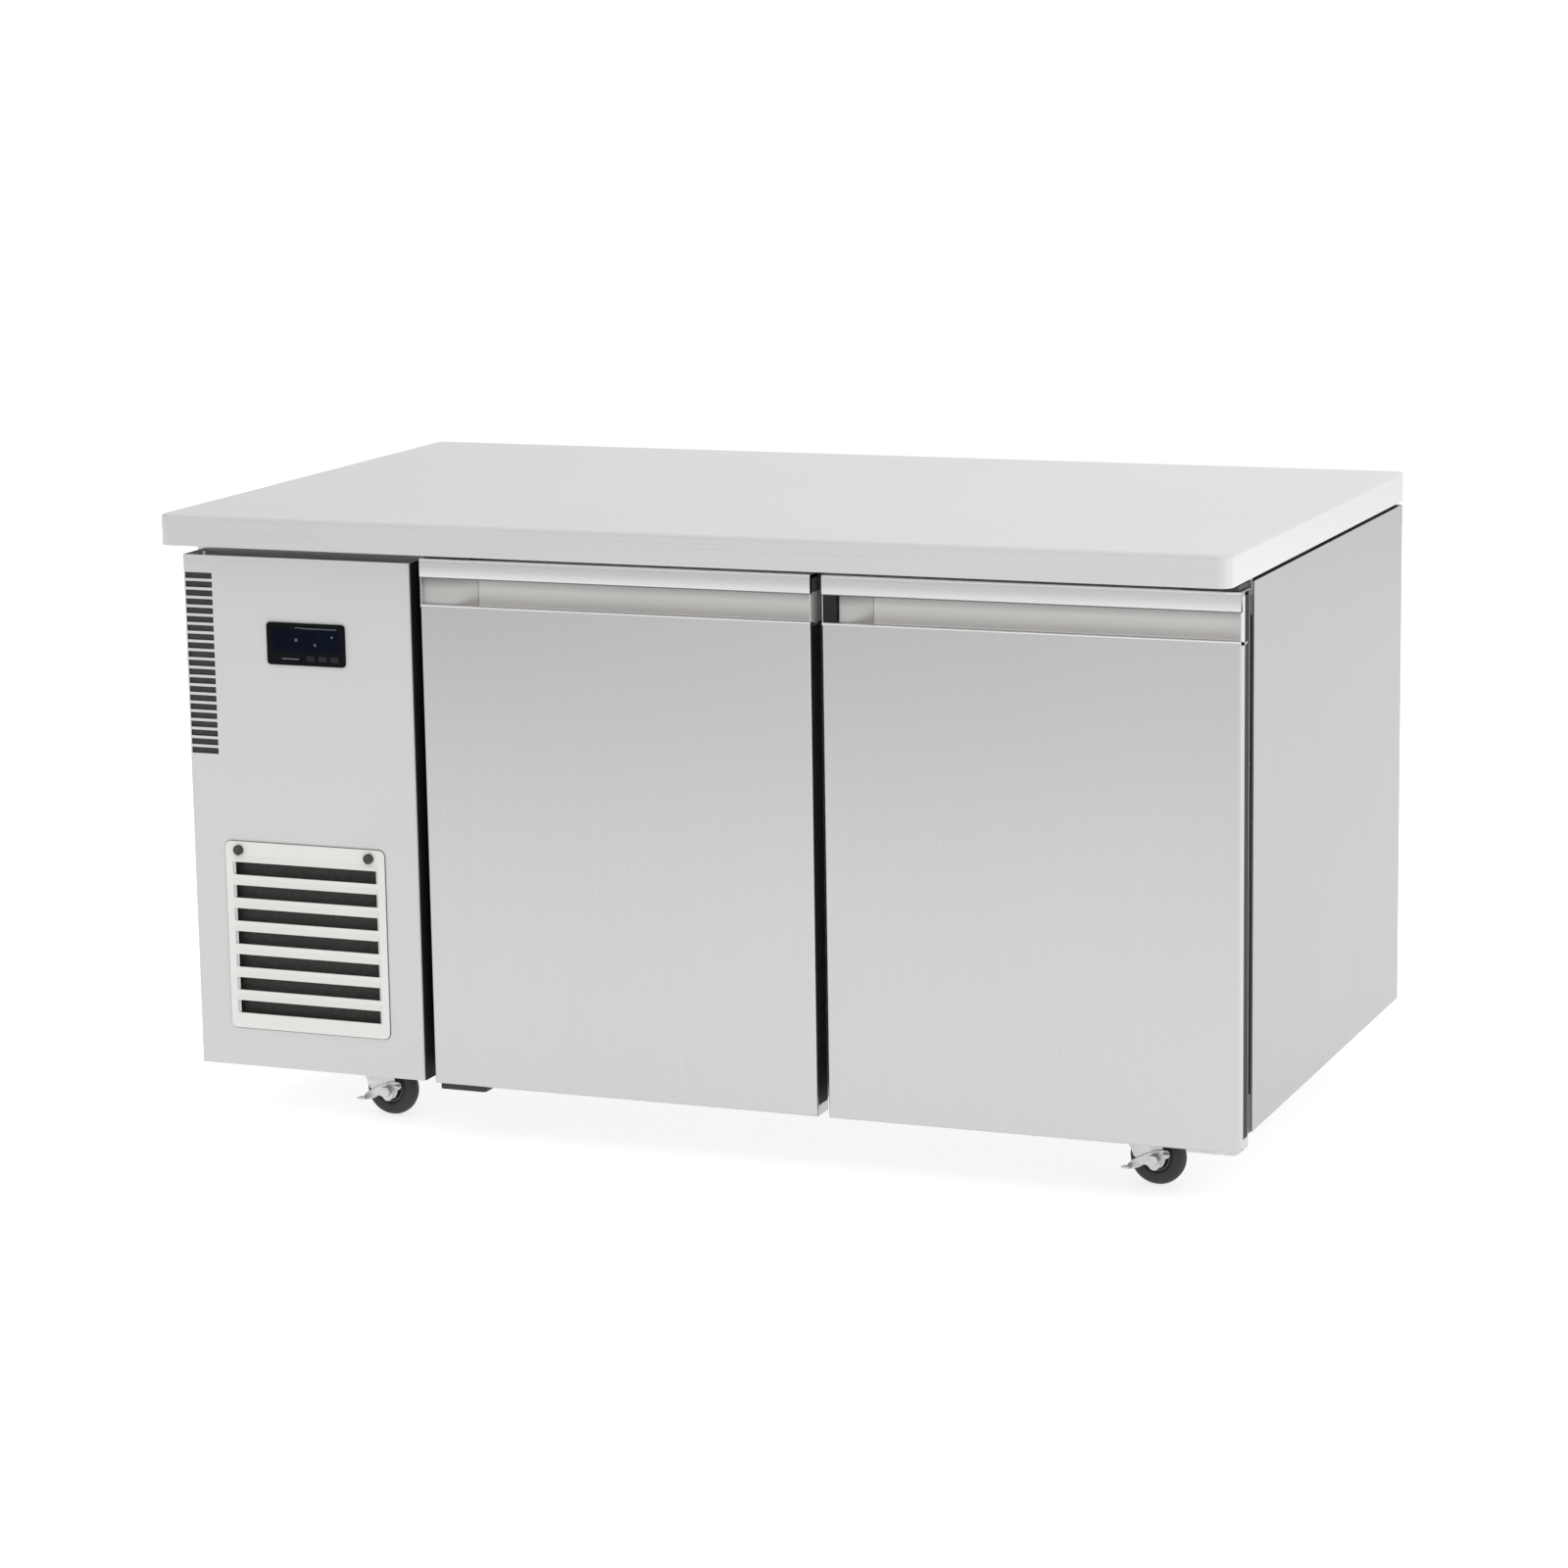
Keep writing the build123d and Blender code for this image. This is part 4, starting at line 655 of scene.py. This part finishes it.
def hinge_brackets():
    low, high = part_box("hinge_brackets")
    doors = {side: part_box(f"{side}_door_liner") for side in SIDES}
    top, foot = doors["left"][1].z + DOOR_GAP, doors["left"][0].z - DOOR_GAP
    spans = {"left": (low.x, low.x + LEAF_W), "right": (high.x - LEAF_W, high.x)}
    axes = {"left": doors["left"][0].x + AXIS_INSET, "right": doors["right"][1].x - AXIS_INSET}
    upper_y, lower_y = (low.y, low.y + LEAF_DEPTH), (high.y - LEAF_DEPTH, high.y)
    dark, pale = bmesh.new(), bmesh.new()
    for side in SIDES:
        hinge_bracket(dark, spans[side], upper_y, (top, top + UPPER_T), (top + UPPER_T, high.z),
                      (axes[side], upper_y[0] + UPPER_PIN_Y), [top + z for z in UPPER_PIN_Z])
        hinge_bracket(dark if side == "left" else pale, spans[side], lower_y,
                      (foot - LOWER_T[side], foot), (foot, FLANGE_TOP),
                      (axes[side], lower_y[0] + LOWER_PIN_Y), [foot + z for z in LOWER_PIN_Z])
    add_piece("hinge_plates", dark, "black_steel", "cabinet", ("hinge_brackets",),
              round_edges=LEAF_ROUND)
    add_piece("lower_right_hinge_plate", pale, "zinc", "cabinet",
              round_edges=LEAF_ROUND)


hinge_brackets()


# ------------------------------------------------------------------ door gaskets
GASKET_W, GASKET_ROUND = 18 * MM, 0.5 * MM
# The bellows' section: fractions of its width, and of its depth from the door face to the cabinet.
BELLOWS = ((0.0, 0.0), (1.0, 0.0), (1.0, 0.16), (0.86, 0.3), (0.98, 0.44), (0.84, 0.6), (1.0, 0.76),
           (0.97, 0.92), (0.88, 1.0), (0.12, 1.0), (0.03, 0.92), (0.0, 0.76), (0.16, 0.6),
           (0.02, 0.44), (0.14, 0.3), (0.0, 0.16))


def door_gasket(side):
    """Bellows seal: a rectangular ring swept with a folded section."""
    low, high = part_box(f"{side}_door_gasket")
    depth = high.y - low.y
    bm = bmesh.new()
    rings = []
    for at_right, at_top in ((False, False), (True, False), (True, True), (False, True)):
        ring = []
        for across, out in BELLOWS:
            step = across * GASKET_W
            x = high.x - step if at_right else low.x + step
            z = high.z - step if at_top else low.z + step
            ring.append(bm.verts.new((x, low.y + out * depth, z)))
        rings.append(ring)
    for i in range(4):
        near, far = rings[i], rings[(i + 1) % 4]
        for k in range(len(BELLOWS)):
            j = (k + 1) % len(BELLOWS)
            bm.faces.new((near[k], near[j], far[j], far[k]))
    add_piece(f"{side}_gasket_bellows", bm, "gasket", f"{side}_door",
              (f"{side}_door_gasket",), round_edges=GASKET_ROUND)


for side in SIDES:
    door_gasket(side)


# ------------------------------------------------------------------ caster wheels
WHEEL_HALF, HUB_R, HUB_ROUND = 12 * MM, 20 * MM, 0.3 * MM
# Half profiles from the middle of the wheel outwards: (radius, distance from the middle plane).
TREAD = ((-1.2 * MM, 6 * MM), (0.0, 2.5 * MM))                       # radius from the rim
SHOULDER = ((-3 * MM, 9 * MM), (-6 * MM, 11.2 * MM), (-9 * MM, WHEEL_HALF))
TYRE_FOOT = ((HUB_R + 1.5 * MM, WHEEL_HALF), (HUB_R, WHEEL_HALF - 1.2 * MM))
HUB_PROFILE = ((HUB_R, 8.5 * MM), (HUB_R - 2 * MM, 10.3 * MM), (HUB_R - 4 * MM, 10.3 * MM),
               (HUB_R - 6.5 * MM, 5.5 * MM), (12 * MM, 5.0 * MM), (9.5 * MM, 8 * MM),
               (9 * MM, 13.4 * MM), (4.1 * MM, 13.4 * MM))
SPOKES, SPOKE_R, SPOKE_HALF = 6, (10 * MM, HUB_R - 4.5 * MM), (1.3 * MM, 9.2 * MM)


def mirrored(half):
    """A profile's half and its mirror image on the other side of the wheel."""
    return [*half, *((radius, -along) for radius, along in reversed(half))]


def caster_wheel(name, body):
    low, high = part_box(f"{name}_caster_wheel")
    centre, radius = (low + high) / 2, (high.z - low.z) / 2
    tread = [(radius + drop, -along) for drop, along in TREAD]
    tread += [(radius + drop, along) for drop, along in reversed(TREAD)]
    shoulder = [(radius + drop, along) for drop, along in SHOULDER]
    bm = bmesh.new()
    lathe(bm, tread + mirrored([*shoulder, *TYRE_FOOT]), centre, steps=96)
    add_piece(f"{name}_tyre", bm, "tyre", body, (f"{name}_caster_wheel",), sharp=50)

    bm = bmesh.new()
    lathe(bm, mirrored(HUB_PROFILE), centre)
    for spoke in range(SPOKES):
        angle = 2 * math.pi / SPOKES * spoke
        out = Vector((math.cos(angle), 0, math.sin(angle)))
        beside = Vector((-math.sin(angle), 0, math.cos(angle))) * SPOKE_HALF[0]
        beyond = Vector((0, SPOKE_HALF[1], 0))
        near, far = ([bm.verts.new(centre + out * r + beside * a + beyond * b)
                      for a, b in ((-1, -1), (1, -1), (1, 1), (-1, 1))] for r in SPOKE_R)
        bm.faces.new(near)
        bm.faces.new(list(reversed(far)))
        for i in range(4):
            j = (i + 1) % 4
            bm.faces.new((near[i], far[i], far[j], near[j]))
    add_piece(f"{name}_hub", bm, "hub", body, round_edges=HUB_ROUND)


# ------------------------------------------------------------------ caster forks
LEG_IN, LEG_T, TRAIL = 14 * MM, 2.5 * MM, 27 * MM
LEG_OUT = LEG_IN + LEG_T
CROWN_Z, CROWN_T, CROWN_R, CROWN_X = 82 * MM, 2.4 * MM, 3 * MM, (-23 * MM, 26 * MM)
BORE_R, KINGPIN_R = 8.5 * MM, 5.1 * MM
# The head's outer profile: (radius, drop from its top), then (radius, rise from the crown).
HEAD_TOP = ((KINGPIN_R, 0.0), (20 * MM, 0.0), (25 * MM, 1.2 * MM), (28.2 * MM, 4 * MM),
            (27.4 * MM, 5.4 * MM))
HEAD_FOOT = ((29 * MM, 1.8 * MM), (29 * MM, 0.2 * MM), (BORE_R, 0.2 * MM))
HEAD_T = 3 * MM
# The leg's edge in millimetres. High points are (x from the swivel axis, z from the crown), the low
# ones at the back (x from the swivel axis, z from the axle), and the low one in front is from the axle.
LEG_BACK_HIGH = ((-23, 2), (-22, -6), (-15, -17))
LEG_BACK_LOW = ((-6, 12), (-2, 2), (8, -7))
LEG_FRONT_LOW, LEG_FRONT_HIGH = (10, 16), ((31, -16), (27, 2))
LEG_TIP_R, AXLE_R, COLLAR_R, NUT_R, BOLT_HEAD_R = 13.5 * MM, 4 * MM, 6 * MM, 7.6 * MM, 8 * MM
BOLT_HEAD_T, BOLT_ROUND, YOKE_ROUND = 4 * MM, 0.6 * MM, 0.8 * MM


def hexagon(radius, centre):
    return arc(centre, radius, 0, 300, 5)


def caster_fork(name, body):
    """Pressed yoke: domed swivel head, crown and two tapered legs, with the axle bolt and its nut."""
    low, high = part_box(f"{name}_caster_fork")
    wheel_low, wheel_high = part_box(f"{name}_caster_wheel")
    axle = (wheel_low + wheel_high) / 2
    ax, y, az = axle
    x = ax - TRAIL
    head = [(radius, high.z - drop) for radius, drop in HEAD_TOP]
    head += [(radius, CROWN_Z + rise) for radius, rise in HEAD_FOOT]
    head += [(BORE_R, high.z - HEAD_T), (KINGPIN_R, high.z - HEAD_T)]
    bm = bmesh.new()
    lathe(bm, head, (x, y, 0), "Z", 48)
    crown = rounded_rectangle([x + reach for reach in CROWN_X], (y - LEG_OUT, y + LEG_OUT), CROWN_R)
    plate_with_holes(bm, crown, [arc((x, y), BORE_R, 0, 345, 23)], CROWN_Z, CROWN_Z + CROWN_T, "Z")

    def from_crown(points):
        return [(x + dx * MM, CROWN_Z + dz * MM) for dx, dz in points]

    leg = (from_crown(LEG_BACK_HIGH) + [(x + dx * MM, az + dz * MM) for dx, dz in LEG_BACK_LOW]
           + arc((ax, az), LEG_TIP_R, 222, 372, 10)
           + [(ax + LEG_FRONT_LOW[0] * MM, az + LEG_FRONT_LOW[1] * MM)] + from_crown(LEG_FRONT_HIGH))
    for span in ((y - LEG_OUT, y - LEG_IN), (y + LEG_IN, y + LEG_OUT)):
        plate_with_holes(bm, leg, [], *span)
    add_piece(f"{name}_yoke", bm, "zinc", body, (f"{name}_caster_fork",),
              round_edges=YOKE_ROUND, segments=3)

    bm = bmesh.new()
    head_back = low.y + BOLT_HEAD_T
    rod(bm, AXLE_R, -LEG_OUT, LEG_OUT, axle)
    rod(bm, COLLAR_R, -LEG_OUT, head_back - y, axle, steps=32)
    prism(bm, hexagon(BOLT_HEAD_R, (ax, az)), low.y, head_back, "Y")
    prism(bm, hexagon(NUT_R, (ax, az)), y + LEG_OUT, high.y, "Y")
    add_piece(f"{name}_axle_bolt", bm, "zinc", body, round_edges=BOLT_ROUND, sharp=30)


# ------------------------------------------------------------------ brake levers
# Outlines in millimetres: the arm's is (x, z) from the axle, and the pads' are (y, z) from the lever's
# rear face and the axle, with their reach along x from the axle.
ARM_START = ((-37, -10), (-31, -3.5), (-22, 1), (-9, 7.5), (0, 11.5), (8, 13), (17, 13), (20, 11),
             (20.5, 5), (17, 2), (11, 0.5), (9, -3), (8, -9))
ARM_BULGE, ARM_BULGE_R = (-1, -8), 7.5
ARM_END = ((-14, -8), (-21, -12.5), (-30, -15.5), (-36, -14))
FOOT_PAD = ((-13.5, -12), (-11, -13.4), (-0.4, -13.8), (-0.4, -11.4), (-10.4, -11.0), (-13, -9.6))
FOOT_X, TOE_X = (-42.5, -30), (12.5, 20)
TOE_PAD = ((-10, 7), (-0.4, 7.6), (-0.4, 10.2), (-9.6, 9.8))
ARM_T, ARM_BORE_R, ARM_ROUND, PAD_ROUND = 2.2 * MM, 6.1 * MM, 0.5 * MM, 0.6 * MM


def brake_lever(side):
    wheel_low, wheel_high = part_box(f"front_{side}_caster_wheel")
    axle = (wheel_low + wheel_high) / 2
    ax, az = axle.x, axle.z
    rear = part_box(f"{side}_brake_lever")[1].y

    def placed(u, v, points):
        return [(u + du * MM, v + dv * MM) for du, dv in points]

    bulge = arc(placed(ax, az, [ARM_BULGE])[0], ARM_BULGE_R * MM, -15, -165, 8)
    bm = bmesh.new()
    plate_with_holes(bm, placed(ax, az, ARM_START) + bulge + placed(ax, az, ARM_END),
                     [arc((ax, az), ARM_BORE_R, 0, 345, 23)], rear - ARM_T, rear)
    add_piece(f"{side}_brake_arm", bm, "zinc", f"{side}_brake", (f"{side}_brake_lever",),
              round_edges=ARM_ROUND)
    bm = bmesh.new()
    for outline, reach in ((FOOT_PAD, FOOT_X), (TOE_PAD, TOE_X)):
        prism(bm, placed(rear, az, outline), *(ax + dx * MM for dx in reach), "X")
    add_piece(f"{side}_brake_pads", bm, "zinc", f"{side}_brake", round_edges=PAD_ROUND)


for end in ENDS:
    for side in SIDES:
        caster_wheel(f"{end}_{side}", f"{end}_{side}_wheel")
        caster_fork(f"{end}_{side}", f"{end}_{side}_fork")
for side in SIDES:
    brake_lever(side)


# ------------------------------------------------------------------ studio
FLOOR_EDGES = (-5.0, -3.4, 5.0, 6.0)
FLOOR_GLOW, ROOM_LIGHT, FRONT_DIM, LEFT_DIM = 0.72, 1.0, 0.15, 0.26
FRONT_FADE, HORIZON_FADE, LEFT_FADE = (-0.1, -0.9), (0.55, 0.1), (-0.1, -0.7)
SOFTBOX = {"place": (0.3, -0.6, 3.4), "target": (0.1, -0.2, 0.4), "size": (3.4, 3.0), "power": 14}


def direction_ramp(tree, socket, start, end, amount):
    """Rises smoothly from nothing to amount as a direction's component goes from start to end."""
    remap = tree.nodes.new("ShaderNodeMapRange")
    remap.interpolation_type = "SMOOTHSTEP"
    remap.inputs["From Min"].default_value, remap.inputs["From Max"].default_value = start, end
    remap.inputs["To Min"].default_value, remap.inputs["To Max"].default_value = 0.0, amount
    tree.links.new(socket, remap.inputs["Value"])
    return remap.outputs["Result"]


def combine(tree, operation, first, second):
    """A maths node; either side may be a number."""
    node = tree.nodes.new("ShaderNodeMath")
    node.operation = operation
    for socket, value in zip(node.inputs, (first, second)):
        if isinstance(value, float):
            socket.default_value = value
        else:
            tree.links.new(value, socket)
    return node.outputs[0]


def paper_floor():
    x0, y0, x1, y1 = FLOOR_EDGES
    mesh = bpy.data.meshes.new("studio_floor")
    mesh.from_pydata([(x0, y0, 0), (x1, y0, 0), (x1, y1, 0), (x0, y1, 0)], [], [(0, 1, 2, 3)])
    floor = bpy.data.objects.new("studio_floor", mesh)
    scene.collection.objects.link(floor)
    mesh.materials.append(surface("studio_paper", (0.5, 0.5, 0.5), (0.7, 0.8), 0.0, (0.5, 0.003), 20.0,
                                  Emission_Color=(1.0, 1.0, 1.0, 1.0), Emission_Strength=FLOOR_GLOW))


def room():
    """Even white room, a little dimmer to the left and low down in front; white behind the object."""
    world = bpy.data.worlds.new("studio")
    scene.world = world
    world.use_nodes = True
    tree = world.node_tree
    tree.nodes.clear()
    out = tree.nodes.new("ShaderNodeOutputWorld")
    light = tree.nodes.new("ShaderNodeBackground")
    light.inputs["Color"].default_value = (1.0, 1.0, 1.0, 1.0)
    split = tree.nodes.new("ShaderNodeSeparateXYZ")
    tree.links.new(tree.nodes.new("ShaderNodeTexCoord").outputs["Generated"], split.inputs[0])
    front = direction_ramp(tree, split.outputs["Y"], *FRONT_FADE, FRONT_DIM)
    near_horizon = direction_ramp(tree, split.outputs["Z"], *HORIZON_FADE, 1.0)
    dim_front = combine(tree, "MULTIPLY", front, near_horizon)
    dim_left = direction_ramp(tree, split.outputs["X"], *LEFT_FADE, LEFT_DIM)
    lit = combine(tree, "SUBTRACT", ROOM_LIGHT, combine(tree, "ADD", dim_front, dim_left))
    view = tree.nodes.new("ShaderNodeLightPath").outputs["Is Camera Ray"]
    tree.links.new(combine(tree, "MAXIMUM", lit, view), light.inputs["Strength"])
    tree.links.new(light.outputs[0], out.inputs["Surface"])


def softbox(name, place, target, size, power):
    """A wide lamp overhead that lights the room but isn't mirrored in the steel."""
    data = bpy.data.lights.new(name, "AREA")
    data.shape, data.size, data.size_y = "RECTANGLE", *size
    data.energy = power
    lamp = bpy.data.objects.new(name, data)
    lamp.location = place
    lamp.rotation_euler = (Vector(target) - Vector(place)).to_track_quat("-Z", "Y").to_euler()
    scene.collection.objects.link(lamp)
    lamp.visible_glossy = False


paper_floor()
room()
softbox("overhead", **SOFTBOX)
scene.view_settings.view_transform = "Standard"
